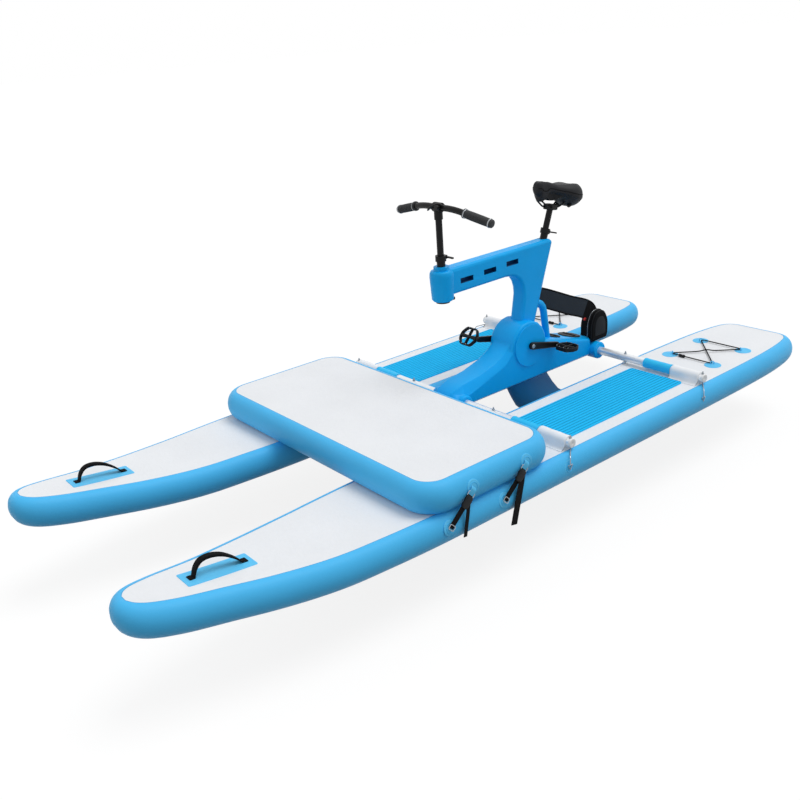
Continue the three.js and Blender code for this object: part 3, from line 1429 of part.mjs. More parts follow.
for (const [side, word] of [[1, 'left'], [-1, 'right']]) {
  add(`pontoon_${word}`, pontoon(side), lightBlue);
  add(`deck_pad_${word}`, deckPad(side), padBlue);
  add(`bow_handle_${word}`, bowHandle(side), webbing);
  add(`stern_bungee_${word}`, sternBungee(side), webbing);
  for (const [y, place] of [[frontBarY, 'front'], [rearBarY, 'rear']]) {
    add(`bar_pocket_${place}_${word}`, barPocket(side, y), white);
    add(`bar_pin_${place}_${word}`, barPin(side, y), steel);
    add(`bar_clip_${place}_${word}`, barClip(side, y), steel);
  }
  ['front', 'rear'].forEach((place, i) => {
    add(`platform_strap_${place}_${word}`, platformStrap(side, i), webbing);
  });
  add(`hub_cover_${word}`, hubCover(side), bodyBlue);
  add(`crank_arm_${word}`, crankArm(side), black);
  add(`pedal_${word}`, pedal(side), black);
  add(`grip_${word}`, grip(side), rubberBlack);
}
add('crossbar_front', crossbar(frontBarY), silver);
add('crossbar_rear', crossbar(rearBarY), silver);
add('platform', platform(), lightBlue);
add('body_frame', bodyFrame(), bodyBlue);
add('lid_large', lid(0), black);
add('lid_small', lid(1), black);
add('belt_pack', beltPack(), webbing);

const axleEnd = armX + armThickness + coverEdge;
add('crank_axle', rod(axleRadius, at(-axleEnd, crankY, crankLevel), at(axleEnd, crankY, crankLevel)), steel);
add('crank_gear', crankGear(), steel);
add('drive_shaft', driveShaft(), steel);
add('prop_shaft', propShaft(), steel);
add('propeller', propeller(), black);
add('drive_leg', driveLeg(), deepBlue);
add('leg_bolt', legBolt(), steel);
add('rudder', rudder(), deepBlue);

const stemBottom = deckLevel + headRise - seatGap - capHeight;
const outerTop = at(0, 0, headTop + stemOuterTop);
add('stem_outer', pipe(stemOuterRadius, boreRadius(stemInnerRadius), at(0, 0, stemBottom), outerTop), black);
add('stem_collar', clampCollar(stemOuterRadius, stemInnerRadius, alongZ, outerTop), black);
add('stem_lever', clampLever(stemOuterRadius, alongZ, outerTop), black);
add('stem_upper', rod(stemInnerRadius, at(0, 0, outerTop.z - stemInnerOverlap), at(0, 0, stemTop)), black);
add('steering_cap', steeringCap(), black);
add('bar_clamp', barClamp(), black);
add('handlebar', handlebar(), black);

const seatTop = seatMouth.clone().addScaledVector(seatAxis, seatTubeTop);
const seatFoot = seatMouth.clone().addScaledVector(seatAxis, -seatTubeDepth);
add('seat_tube', pipe(seatTubeRadius, boreRadius(seatPostRadius), seatFoot, seatTop), black);
add('seat_collar', clampCollar(seatTubeRadius, seatPostRadius, seatAxis, seatTop), black);
add('seat_lever', clampLever(seatTubeRadius, seatAxis, seatTop), black);
add('seat_post', seatPost(), black);
add('saddle_rails', onSeatHead(saddleRail(railRadius, 0)), steel);
add('saddle', onSeatHead(cut(saddle(), saddleRail(railRadius + seatGap, seatGap))), black);

export default bike;
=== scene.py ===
# %% [markdown]
# This lesson dresses a water bike whose solid parts are already made. They are loaded first and stay
# fixed, and every piece made here is placed by their sizes, so that it fits with no adjusting.

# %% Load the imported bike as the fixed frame
import json
import math

import bmesh
import bpy
import numpy as np
from mathutils import Matrix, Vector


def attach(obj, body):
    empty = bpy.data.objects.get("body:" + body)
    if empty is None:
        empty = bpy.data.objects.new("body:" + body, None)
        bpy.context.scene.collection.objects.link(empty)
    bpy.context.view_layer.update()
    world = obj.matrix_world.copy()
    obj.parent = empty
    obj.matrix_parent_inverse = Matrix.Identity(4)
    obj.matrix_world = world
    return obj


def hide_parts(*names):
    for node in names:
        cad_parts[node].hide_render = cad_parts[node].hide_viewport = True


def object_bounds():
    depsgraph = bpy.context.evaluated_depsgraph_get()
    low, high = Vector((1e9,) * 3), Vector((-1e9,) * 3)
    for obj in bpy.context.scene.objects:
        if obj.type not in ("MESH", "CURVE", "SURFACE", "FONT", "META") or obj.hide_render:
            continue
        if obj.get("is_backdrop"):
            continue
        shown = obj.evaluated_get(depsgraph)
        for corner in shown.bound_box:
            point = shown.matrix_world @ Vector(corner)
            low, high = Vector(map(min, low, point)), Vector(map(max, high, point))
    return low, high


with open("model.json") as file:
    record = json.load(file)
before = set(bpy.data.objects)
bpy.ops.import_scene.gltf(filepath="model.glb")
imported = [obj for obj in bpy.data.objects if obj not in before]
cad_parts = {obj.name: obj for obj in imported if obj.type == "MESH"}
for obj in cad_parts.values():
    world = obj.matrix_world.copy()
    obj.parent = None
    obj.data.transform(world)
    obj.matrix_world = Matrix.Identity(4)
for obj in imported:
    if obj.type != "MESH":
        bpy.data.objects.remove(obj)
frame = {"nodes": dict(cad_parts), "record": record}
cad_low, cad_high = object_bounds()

print("CAD box", [round(v, 3) for v in (*cad_low, *cad_high)])

# %% [markdown]
# The water bike has two inflated boards, an inflated platform across their bows, two metal bars, and
# a moulded blue body with a saddle, handlebar and pedals. All its sizes are in millimetres, as a
# maker would measure them, and they become metres only where a mesh is made.

# %% Sizes in millimetres, shared by many pieces
MM = 0.001
DECK = 382.0
BOARD_X = 464.0
BOARD_LENGTH = 3534.0
BOARD_THICKNESS = 120.0
BOARD_BULGE = 45.0
BOARD_HALF = 205.0
STERN = BOARD_LENGTH / 2
BAR_LEVEL = DECK + 30
BAR_YS = {"front": 22.0, "rear": 911.0}
SIDES = {"left": 1, "right": -1}
nodes = frame["nodes"]
node_body = {n: body for body, ns in frame["record"]["behaviour"]["bodies"].items() for n in ns}
node_slot = {row["node"]: row["material_slot"] for row in frame["record"]["subparts"]}

# %% [markdown]
# A mesh is easiest to reason about as a grid: one index runs along the piece and the other runs
# round it. Numpy works out the whole grid at once, and one helper turns any grid into a mesh, closes
# its ends and stores how far each point lies along and round the piece, which cloth patterns need.

# %% From a grid of points to a mesh
def unit(vectors):
    """Each vector divided by its own length."""
    return vectors / np.maximum(np.linalg.norm(vectors, axis=-1, keepdims=True), 1e-12)


def put(name, points, faces, uv=None, sharp=40, material_rows=None):
    """Object whose mesh has these points, in millimetres, and faces. Faces are turned outwards where
    the volume, one sixth of the sum of a . (b x c) over its triangles, comes out negative."""
    points = np.asarray(points, float) * MM
    fans = np.array([(f[0], f[i], f[i + 1]) for f in faces for i in range(1, len(f) - 1)])
    a, b, c = points[fans[:, 0]], points[fans[:, 1]], points[fans[:, 2]]
    inside_out = np.einsum("ij,ij->", a, np.cross(b, c)) < 0
    if inside_out:
        faces = [f[::-1] for f in faces]
    mesh = bpy.data.meshes.new(name)
    mesh.from_pydata(points.tolist(), [], faces)
    if uv is not None:
        flat = [(row[::-1] if inside_out else row) for row in uv]
        layer = mesh.uv_layers.new(name="weave")
        layer.data.foreach_set("uv", (np.array([p for row in flat for p in row]) * MM).ravel())
    if material_rows is not None:
        mesh.polygons.foreach_set("material_index", material_rows)
    mesh.polygons.foreach_set("use_smooth", [True] * len(mesh.polygons))
    mesh.update()
    mesh.validate()
    mesh.set_sharp_from_angle(angle=math.radians(sharp))
    piece = bpy.data.objects.new(name, mesh)
    bpy.context.scene.collection.objects.link(piece)
    return piece


def quads(n, m, ring=False):
    """Row, column and four corner numbers of every face of a grid of n rows by m columns."""
    i, j = np.meshgrid(np.arange(n if ring else n - 1), np.arange(m), indexing="ij")
    i, j = i.ravel(), j.ravel()
    next_i, next_j = (i + 1) % n, (j + 1) % m
    return i, j, np.stack([i * m + j, i * m + next_j, next_i * m + next_j, next_i * m + j], axis=1)


def skin(name, grid, ring=False, sharp=40, rows=None):
    """Closed skin over a grid of points: rows run along the piece and columns round it. A ring's last
    row joins its first; any other piece gets a fan of triangles over each end. rows gives the
    material's number for each band. Rows that share one middle count as 3 mm apart."""
    grid = np.asarray(grid, float)
    n, m = grid.shape[:2]
    i, j, faces = quads(n, m, ring)
    around = np.linalg.norm(np.diff(np.concatenate([grid, grid[:, :1]], 1), axis=1), axis=2).max(0)
    around = np.r_[0, np.cumsum(around)]
    mids = grid.mean(axis=1)
    steps = np.linalg.norm(np.diff(np.concatenate([mids, mids[:1]]), axis=0), axis=1)
    length = np.r_[0, np.cumsum(steps)]
    if length[-1] < 1:
        length = np.arange(n + 1) * 3.0
    uv = np.stack([
        np.stack([around[j], length[i]], 1), np.stack([around[j + 1], length[i]], 1),
        np.stack([around[j + 1], length[i + 1]], 1), np.stack([around[j], length[i + 1]], 1)], axis=1)
    points, faces, uv = grid.reshape(-1, 3), faces.tolist(), uv.tolist()
    numbers = np.zeros(len(faces), int) if rows is None else np.asarray(rows)[i]
    if not ring:
        around_j = np.arange(m)
        for row, hub in ((0, n * m), (n - 1, n * m + 1)):
            points = np.vstack([points, grid[row].mean(0)])
            a, b = row * m + around_j, row * m + (around_j + 1) % m
            fan = np.stack([b, a, np.full(m, hub)] if row == 0 else [a, b, np.full(m, hub)], 1)
            faces += fan.tolist()
            uv += [[[0, 0]] * 3] * m
            numbers = np.r_[numbers, np.full(m, numbers[0 if row == 0 else -1])]
    return put(name, points, faces, uv, sharp, numbers)


def smooth_path(points, count):
    """Curve through the points: a cubic Hermite run between each two, with each point's slope worked
    out from its neighbours over the square root of their distances."""
    points = np.asarray(points, float)
    knots = np.r_[0, np.cumsum(np.sqrt(np.linalg.norm(np.diff(points, axis=0), axis=1)))]
    slopes = np.gradient(points, knots, axis=0)
    t = np.linspace(0, knots[-1], count)
    i = np.clip(np.searchsorted(knots, t, side="right") - 1, 0, len(knots) - 2)
    h = (knots[i + 1] - knots[i])[:, None]
    u = (t - knots[i])[:, None] / h
    return ((2 * u ** 3 - 3 * u ** 2 + 1) * points[i] + (u ** 3 - 2 * u ** 2 + u) * h * slopes[i]
            + (3 * u ** 2 - 2 * u ** 3) * points[i + 1] + (u ** 3 - u ** 2) * h * slopes[i + 1])


def rounded_path(corners, setback, steps=8):
    """Straight runs whose corners are parabolas: (1-t)^2 before + 2t(1-t) corner + t^2 after."""
    corners = [np.asarray(c, float) for c in corners]
    t = np.linspace(0, 1, steps)[:, None]
    path = [corners[0][None]]
    for before, corner, after in zip(corners, corners[1:], corners[2:]):
        a = corner + unit(before - corner) * setback
        b = corner + unit(after - corner) * setback
        path.append((1 - t) ** 2 * a + 2 * t * (1 - t) * corner + t ** 2 * b)
    return np.concatenate(path + [corners[-1][None]])


def swept(path, section, up):
    """Grid of a section carried along a path: point + u * side + v * top, where side is at right
    angles to the path and the given direction, and top is at right angles to both."""
    path, section = np.asarray(path, float), np.asarray(section, float)
    if section.ndim == 2:
        section = np.broadcast_to(section, (len(path), *section.shape))
    run = unit(np.gradient(path, axis=0))
    side = unit(np.cross(run, np.asarray(up, float)))
    top = np.cross(side, run)
    return path[:, None] + section[..., :1] * side[:, None] + section[..., 1:] * top[:, None]


def oval(half_width, half_height, count=24, power=1.0):
    """Points (w cos^p, h sin^p) round an oval; a power below one squares it off."""
    a = 2 * np.pi * (np.arange(count) + 0.5) / count
    c, s = np.cos(a), np.sin(a)
    return np.stack([half_width * np.sign(c) * abs(c) ** power,
                     half_height * np.sign(s) * abs(s) ** power], 1)


def hoop(path, section, up):
    """Grid of a section carried once round a closed path, for a ring."""
    return swept(np.concatenate([path, path[:2]]), section, up)[:-2]


def mirrored(half):
    """Profile of (radius, distance) followed by its own mirror image about distance 0."""
    return half + [(radius, -distance) for radius, distance in reversed(half)]


def turned(name, profile, start, axis, sides=48, sharp=40):
    """Profile of (radius, distance) turned about an axis: start + d * axis + r (cos a, sin a)."""
    profile, axis = np.asarray(profile, float), unit(np.asarray(axis, float))
    first = unit(np.cross(axis, [0, 0, 1] if abs(axis[2]) < 0.9 else [1, 0, 0]))
    second = np.cross(axis, first)
    a = 2 * np.pi * np.arange(sides) / sides
    spoke = np.cos(a)[:, None] * first + np.sin(a)[:, None] * second
    radius, distance = profile[:, 0, None, None], profile[:, 1, None, None]
    return skin(name, np.asarray(start, float) + distance * axis + radius * spoke, sharp=sharp)


print("grid helpers ready")

# %% [markdown]
# A finish in Blender is a graph of small nodes. Wiring dozens of them by hand is hard to read, so a
# wire is wrapped in a class whose plus, minus and times signs add the maths nodes, and one method
# places any other node. Then a finish reads like the sentence that describes it.

# %% Shader maths as plain expressions
class Wire:
    """A shader value. Its operators add the maths nodes that work it out; wave is its sine and size
    its absolute value."""

    def __init__(self, finish, socket):
        self.finish, self.socket = finish, socket

    def maths(self, operation, *values):
        """The maths node for one operation."""
        return self.finish.node("Math", {"operation": operation}, *values)

    def __add__(self, other): return self.maths("ADD", self, other)
    def __sub__(self, other): return self.maths("SUBTRACT", self, other)
    def __mul__(self, other): return self.maths("MULTIPLY", self, other)
    def __rsub__(self, other): return self.maths("SUBTRACT", other, self)
    def __lt__(self, other): return self.maths("LESS_THAN", self, other)
    def __gt__(self, other): return self.maths("GREATER_THAN", self, other)
    __radd__, __rmul__ = __add__, __mul__

    def wave(self): return self.maths("SINE", self)
    def size(self): return self.maths("ABSOLUTE", self)


class Finish:
    """A material with its shader and the places on the piece that its patterns read."""

    def __init__(self, name, **constants):
        self.material = bpy.data.materials.new(name)
        self.material.use_nodes = True
        self.tree = self.material.node_tree
        self.shader = self.tree.nodes["Principled BSDF"]
        self.place = self.node("TexCoord", out="Object")
        self.set(**constants)

    def feed(self, socket, value):
        """Links a wire to the socket, or gives it a constant; a colour gets its fourth number."""
        if isinstance(value, Wire):
            self.tree.links.new(value.socket, socket)
        else:
            socket.default_value = (*value, 1) if socket.type == "RGBA" else value

    def node(self, kind, settings=None, *values, out=0, **named):
        """One node: its settings first, then the values or wires of its sockets."""
        made = self.tree.nodes.new("ShaderNode" + kind)
        for key, value in (settings or {}).items():
            setattr(made, key, value)
        for place, value in [*enumerate(values), *named.items()]:
            self.feed(made.inputs[place if isinstance(place, int) else place.replace("_", " ")], value)
        return Wire(self, made.outputs[out])

    def set(self, **values):
        """Feeds the shader's sockets, by name, with constants or wires."""
        for key, value in values.items():
            self.feed(self.shader.inputs[key.replace("_", " ")], value)

    def axes(self):
        """The point's x, y and z, in metres."""
        made = self.node("SeparateXYZ", None, self.place).socket.node
        return [Wire(self, s) for s in made.outputs]

    def along(self):
        """Distances round and along the piece, in metres, from its own map."""
        made = self.node("SeparateXYZ", None, self.node("UVMap", {"uv_map": "weave"})).socket.node
        return [Wire(self, s) for s in made.outputs][:2]

    def noise(self, size, detail=2.0, rough=0.5):
        """Soft cloud from 0 to 1 whose blotches are about so many millimetres wide."""
        return self.node("TexNoise", None, Vector=self.place, Scale=1 / (size * MM), Detail=detail,
                         Roughness=rough)

    def cells(self, size):
        """Distance to the middle of cells so many millimetres wide."""
        return self.node("TexVoronoi", {"feature": "SMOOTH_F1"}, Vector=self.place,
                         Scale=1 / (size * MM))

    def mix(self, factor, a, b):
        """Colour a where the factor is 0 and b where it is 1."""
        made = self.node("Mix", {"data_type": "RGBA"}, factor).socket.node
        self.feed(made.inputs[6], a)
        self.feed(made.inputs[7], b)
        return Wire(self, made.outputs[2])

    def bump(self, height, distance):
        """Relief so many millimetres deep."""
        self.set(Normal=self.node("Bump", None, Strength=1.0, Distance=distance * MM, Height=height))


def shade(colour, factor):
    """A colour made lighter or darker."""
    return tuple(min(1.0, c * factor) for c in colour)


print("finish helpers ready")

# %% [markdown]
# The boards and the platform are coated fabric held apart by thousands of threads. Up close the
# white deck has a fine weave and a faint quilt of dimples where the threads pull, and the sides are a
# smoother light blue. Both are slightly uneven in colour, and small scuffs change how they shine.

# %% Finishes of the inflated pieces
WHITE = (0.83, 0.85, 0.88)
LIGHT_BLUE = (0.070, 0.51, 0.93)
PAD_BLUE = (0.012, 0.50, 0.93)
FULL_TURN = 2 * math.pi
DECK_THREAD, THREAD_FOOT, RELIEF = 2.2, 11, 0.9


def coated_fabric(name, colour, quilt, roughness):
    """Colour times a slow cloud; relief is weave threads plus dimples whose depth falls with the
    distance from each thread's foot."""
    finish = Finish(name, Specular_IOR_Level=0.22)
    x, y, _ = finish.axes()
    cloud, scuffs = finish.noise(260, 3), finish.noise(18, 4, 0.65)
    blotches = cloud * 0.7 + scuffs * 0.3
    finish.set(Base_Color=finish.mix(blotches, shade(colour, 0.93), shade(colour, 1.06)),
               Roughness=roughness - 0.06 + scuffs * 0.16)
    turn = FULL_TURN / (DECK_THREAD * MM)
    threads = (x * turn).wave() * (y * turn).wave()
    dimples, slow = finish.cells(THREAD_FOOT), finish.noise(70, 1)
    finish.bump(threads * 0.10 + dimples * quilt + slow * (quilt * 1.4), RELIEF)
    return finish.material


deck_white = coated_fabric("deck_white_fabric", WHITE, 0.8, 0.62)
side_blue = coated_fabric("side_blue_fabric", LIGHT_BLUE, 0.12, 0.42)
patch_blue = coated_fabric("patch_blue_fabric", (0.11, 0.56, 0.93), 0.05, 0.5)
edge_blue = coated_fabric("edge_blue_fabric", (0.035, 0.36, 0.70), 0.05, 0.45)
print("inflated finishes:", deck_white.name, side_blue.name, patch_blue.name)

# %% [markdown]
# The body is moulded plastic with a satin skin like fine orange peel, with painted shade in its slots.
# The pads are soft foam whose groove bottoms are painted darker as shade, the grips are ribbed rubber,
# the saddle is a grained cover, straps and belt are woven, and the metal is brushed, anodised or powder coated.

# %% Finishes of the hard and soft fittings
def moulded(name, colour, roughness, peel=0.5, dark=0.9, paint=None):
    """Colour times a slow cloud, scuffs that lift the roughness, and orange peel for relief. A paint
    function, where there is one, works out the colour instead."""
    finish = Finish(name, Specular_IOR_Level=0.2)
    cloud, scuffs = finish.noise(180, 3), finish.noise(9, 5, 0.7)
    if paint:
        tone = paint(finish, cloud)
    else:
        tone = finish.mix(cloud * 0.75 + scuffs * 0.25, shade(colour, dark), shade(colour, 1.08))
    finish.set(Base_Color=tone, Roughness=roughness - 0.05 + scuffs * 0.18)
    finish.bump(finish.noise(2.2, 2) * 0.6 + finish.noise(0.7, 1) * 0.4, 0.12 * peel)
    return finish.material


# The second colour is painted shade for the insides of the body's slots.
BODY_BLUE, SLOT_PAINTED_SHADE = (0.001, 0.41, 0.93), (0.002, 0.05, 0.18)
SLOT_LEVEL, SLOT_START, SLOT_SLOPE = DECK + 549 + 11.5, 108.5, 6 / 138
SLOT_HALF, SLOT_FLOOR, SLOT_Y0, SLOT_Y1 = 14, 36.5, 60, 440


def slots_painted_shade(finish, cloud):
    """The body's blue with painted shade, much darker, inside its three blind slots: the mask is 1 where a
    point is nearer the middle than the wall and close to the slots' sloping line."""
    x, y, z = finish.axes()
    line = (z - SLOT_LEVEL * MM - (y - SLOT_START * MM) * SLOT_SLOPE).size()
    inside = (x.size() < SLOT_FLOOR * MM) * (line < SLOT_HALF * MM)
    inside = inside * (y > SLOT_Y0 * MM) * (y < SLOT_Y1 * MM)
    plain = finish.mix(cloud, shade(BODY_BLUE, 0.9), shade(BODY_BLUE, 1.1))
    # painted shade: the slots' insides are coloured a near-black blue, as their recesses would fall in shade
    return finish.mix(inside, plain, SLOT_PAINTED_SHADE)


def brushed(name, colour, roughness, metal=1.0):
    """Metal whose roughness and relief run in long fine scratches along the piece."""
    finish = Finish(name, Metallic=metal)
    stretched = finish.node("Mapping", None, finish.place, Scale=(0.06, 1.0, 1.0))
    scratches = finish.node("TexNoise", None, Vector=stretched, Scale=900.0, Detail=3.0)
    cloud = finish.noise(60, 3)
    finish.set(Base_Color=finish.mix(cloud, shade(colour, 0.88), shade(colour, 1.06)),
               Roughness=roughness - 0.06 + scratches * 0.14)
    finish.bump(scratches, 0.02)
    return finish.material


def woven(name, colour, pitch=1.6):
    """Webbing: threads cross as the product of two sine waves, and rows shade the colour."""
    finish = Finish(name, Specular_IOR_Level=0.12)
    u, v = finish.along()
    turn = FULL_TURN / (pitch * MM)
    ribs, fuzz = (u * turn).wave() * (v * turn).wave(), finish.noise(3, 3)
    thread = (ribs * 0.25 + 0.5) * 0.6 + fuzz * 0.4
    finish.set(Base_Color=finish.mix(thread, shade(colour, 0.55), shade(colour, 1.7)),
               Roughness=0.77 + fuzz * 0.12)
    finish.bump(ribs * 0.6 + fuzz * 0.4, 0.35)
    return finish.material


def foam():
    """Pad foam: its groove attribute is 1 at the bottom of a groove, which is painted darker as shade."""
    finish = Finish("pad_foam", Specular_IOR_Level=0.15)
    groove = finish.node("Attribute", {"attribute_name": "groove"}, out="Fac")
    cloud, pores = finish.noise(120, 3), finish.noise(1.6, 3, 0.7)
    plain = finish.mix(cloud * 0.7 + pores * 0.3, shade(PAD_BLUE, 0.9), shade(PAD_BLUE, 1.1))
    # painted shade: the groove bottoms are coloured at 0.42 of the pad's blue
    finish.set(Base_Color=finish.mix(groove, plain, shade(PAD_BLUE, 0.42)),
               Roughness=0.72 + pores * 0.2)
    finish.bump(pores, 0.25)
    return finish.material


def grained(name, colour, size, roughness):
    """Cover with leather grain: cells for the plates and a fine noise for the creases."""
    finish = Finish(name, Specular_IOR_Level=0.28)
    plates, creases = finish.cells(size), finish.noise(size * 0.4, 3)
    wear = finish.noise(45, 3)
    tone = finish.mix(wear * 0.6 + plates * 0.5, shade(colour, 0.7), shade(colour, 1.8))
    finish.set(Base_Color=tone, Roughness=roughness - 0.06 + wear * 0.2)
    finish.bump(plates + creases * 0.4, 0.3)
    return finish.material


body_blue = moulded("body_blue_plastic", BODY_BLUE, 0.36, paint=slots_painted_shade)
leg_blue = moulded("leg_blue_plastic", (0.001, 0.19, 0.46), 0.4)
white_plastic = moulded("white_cap_plastic", (0.88, 0.89, 0.9), 0.45, 0.3)
black_plastic = moulded("black_grained_plastic", (0.007, 0.008, 0.010), 0.5, 1.2, 0.7)
black_coat = moulded("black_powder_coat", (0.0035, 0.0035, 0.004), 0.36, 0.8, 0.7)
grip_rubber = grained("grip_rubber", (0.030, 0.031, 0.033), 2.0, 0.55)
saddle_cover = grained("saddle_cover", (0.0035, 0.004, 0.006), 1.4, 0.5)
webbing = woven("black_webbing", (0.003, 0.003, 0.0035))
belt_cloth = woven("belt_grey_cloth", (0.030, 0.036, 0.044), 2.4)
bar_silver = brushed("bar_anodised", (0.88, 0.90, 0.92), 0.36, 0.7)
steel = brushed("plain_steel", (0.40, 0.42, 0.44), 0.34)
red_tab = moulded("red_tab_plastic", (0.55, 0.035, 0.03), 0.4)
pad_foam = foam()
sleeve_blue = coated_fabric("sleeve_blue_fabric", (0.03, 0.56, 0.95), 0.05, 0.45)
pocket_white = coated_fabric("pocket_white_fabric", (0.90, 0.92, 0.95), 0.1, 0.5)
slot_finish = {
    "board_skin": side_blue, "pad_foam": pad_foam, "body_plastic": body_blue, "leg_plastic": leg_blue,
    "white_plastic": pocket_white, "black_plastic": black_plastic, "black_metal": black_coat,
    "grip_rubber": grip_rubber, "saddle_cover": saddle_cover, "webbing": webbing,
    "bar_aluminium": bar_silver, "steel": steel,
}
print(len(bpy.data.materials), "finishes")

# %% [markdown]
# A finished piece has to say three things: which moving body carries it, what it is made of, and
# which solids it stands for, so that they aren't seen twice. One helper says them all.

# %% Fasten a piece to the bike
replaced = set()


def fit(piece, body, slot, *materials, stands_for=()):
    """The piece gets its finish, rides on a body and stands for the CAD nodes named."""
    for material in materials:
        piece.data.materials.append(material)
    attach(piece, body)
    if stands_for:
        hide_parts(*stands_for)
        replaced.update(stands_for)
    return piece


# %% [markdown]
# The camera stands where the photographer did: above the left bow, looking back and down at the bike
# with a slight tilt. Its place, angles and focal length were worked out from the bar ends, the board
# tips and the deck levels in the photograph.

# %% Camera
CAMERA_PLACE = (2.78085, -2.45222, 1.96979)
FORWARD = np.array([-0.7300085, 0.56884088, -0.37882402])
RIGHT = np.array([0.63577667, 0.76859662, -0.07104405])
UP = np.array([-0.2507501, 0.29271023, 0.92273783])
FOCAL_PX, MIDDLE_PX, IMAGE_PX, SENSOR = 909.88, (396.84, 394.86), 800, 36
camera = bpy.data.objects.new("camera", bpy.data.cameras.new("camera"))
bpy.context.scene.collection.objects.link(camera)
camera.data.sensor_width = SENSOR
camera.data.lens = FOCAL_PX * SENSOR / IMAGE_PX
camera.data.shift_x = (IMAGE_PX / 2 - MIDDLE_PX[0]) / IMAGE_PX
camera.data.shift_y = (MIDDLE_PX[1] - IMAGE_PX / 2) / IMAGE_PX
turn = Matrix([RIGHT, UP, -FORWARD]).transposed().to_4x4()
camera.matrix_world = Matrix.Translation(CAMERA_PLACE) @ turn
bpy.context.scene.camera = camera
print("lens", round(camera.data.lens, 2), "mm")

# %% [markdown]
# The light is plain and soft: an even pale sky plus one broad lamp overhead, so decks are bright and
# the sides grow darker towards their undersides, as in the photograph. The floor keeps the shadow but
# looks white to the camera, because part of what the camera sees of it is its own plain white.

# %% Floor, sky and lamp
def white_to_the_eye(tree):
    """1 for rays that come from the camera, a mirror or glass, else 0."""
    rays = tree.nodes.new("ShaderNodeLightPath")
    made = rays.outputs["Is Camera Ray"]
    for name in ("Is Glossy Ray", "Is Transmission Ray"):
        higher = tree.nodes.new("ShaderNodeMath")
        higher.operation = "MAXIMUM"
        tree.links.new(made, higher.inputs[0])
        tree.links.new(rays.outputs[name], higher.inputs[1])
        made = higher.outputs[0]
    return made


SKY_LEVEL, FLOOR_TONE, FLOOR_HALF, FLOOR_LEVEL = 0.62, 0.18, 60, -0.002
LAMP_LEVEL, LAMP_WIDTH, LAMP_BACK, LAMP_ASIDE = 1.35, 35, -18, 14
world = bpy.data.worlds.new("pale_sky")
bpy.context.scene.world = world
world.use_nodes = True
sky_tree = world.node_tree
level = sky_tree.nodes.new("ShaderNodeMapRange")
level.inputs["To Min"].default_value, level.inputs["To Max"].default_value = SKY_LEVEL, 1.0
sky_tree.links.new(white_to_the_eye(sky_tree), level.inputs["Value"])
background = sky_tree.nodes["Background"]
background.inputs["Color"].default_value = (1, 1, 1, 1)
sky_tree.links.new(level.outputs[0], background.inputs["Strength"])

floor_mesh = bpy.data.meshes.new("floor")
corners = [(x * FLOOR_HALF, y * FLOOR_HALF, FLOOR_LEVEL)
           for x, y in ((-1, -1), (1, -1), (1, 1), (-1, 1))]
floor_mesh.from_pydata(corners, [], [(0, 1, 2, 3)])
floor = bpy.data.objects.new("floor", floor_mesh)
bpy.context.scene.collection.objects.link(floor)
floor_look = bpy.data.materials.new("floor_white")
floor_look.use_nodes = True
floor_tree = floor_look.node_tree
floor_shader = floor_tree.nodes["Principled BSDF"]
floor_shader.inputs["Base Color"].default_value = (FLOOR_TONE,) * 3 + (1,)
floor_shader.inputs["Roughness"].default_value = 0.9
floor_shader.inputs["Specular IOR Level"].default_value = 0.0
floor_shader.inputs["Emission Color"].default_value = (1, 1, 1, 1)
glow = floor_tree.nodes.new("ShaderNodeMath")
glow.operation, glow.inputs[1].default_value = "MULTIPLY", 1.0 - FLOOR_TONE + 0.02
floor_tree.links.new(white_to_the_eye(floor_tree), glow.inputs[0])
floor_tree.links.new(glow.outputs[0], floor_shader.inputs["Emission Strength"])
floor_mesh.materials.append(floor_look)
floor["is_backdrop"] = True

lamp = bpy.data.objects.new("overhead_lamp", bpy.data.lights.new("overhead_lamp", "SUN"))
lamp.data.energy, lamp.data.angle = LAMP_LEVEL, math.radians(LAMP_WIDTH)
back = Matrix.Rotation(math.radians(LAMP_BACK), 4, "X")
lamp.matrix_world = back @ Matrix.Rotation(math.radians(LAMP_ASIDE), 4, "Y")
bpy.context.scene.collection.objects.link(lamp)
bpy.context.scene.view_settings.view_transform = "Standard"
print("sky", SKY_LEVEL, "lamp", LAMP_LEVEL)

# %% [markdown]
# An inflated board is a flat deck outline whose side swells out in a half round all the way round.
# Its skin is a stack of closed loops: small loops on the deck that grow to its edge, loops that go
# round the swell, and loops that shrink again underneath. The side's coloured skin starts with a
# raised edge of welded tape, which draws the thin line seen along the deck. A box with bevelled
# edges would be quicker, but its swell would not grow from the outline or follow the bow upwards.

# %% Inflated boards
OUTLINE = np.array([
    # half width and place along the board, as shares
    [0.07, 0.0], [0.18, 0.004], [0.28, 0.012], [0.4, 0.035], [0.525, 0.08], [0.68, 0.126], [0.84, 0.184],
    [0.93, 0.242], [0.985, 0.3], [1.0, 0.38], [1.0, 0.88], [0.95, 0.94], [0.87, 0.975], [0.79, 0.99],
    [0.68, 0.997], [0.54, 1.0]])
BOW_RISE, BOW_RUN, BOW_POWER = 85, 770, 1.7
DECK_SHARES = [0.04, 0.3, 0.6, 0.85, 0.97, 1.0]
TAPE_TURN = 0.06


def board_lift(y):
    """Rise of the bow: its height times the 1.7th power of the share of its run."""
    return BOW_RISE * (np.maximum(0, BOW_RUN - STERN - y) / BOW_RUN) ** BOW_POWER


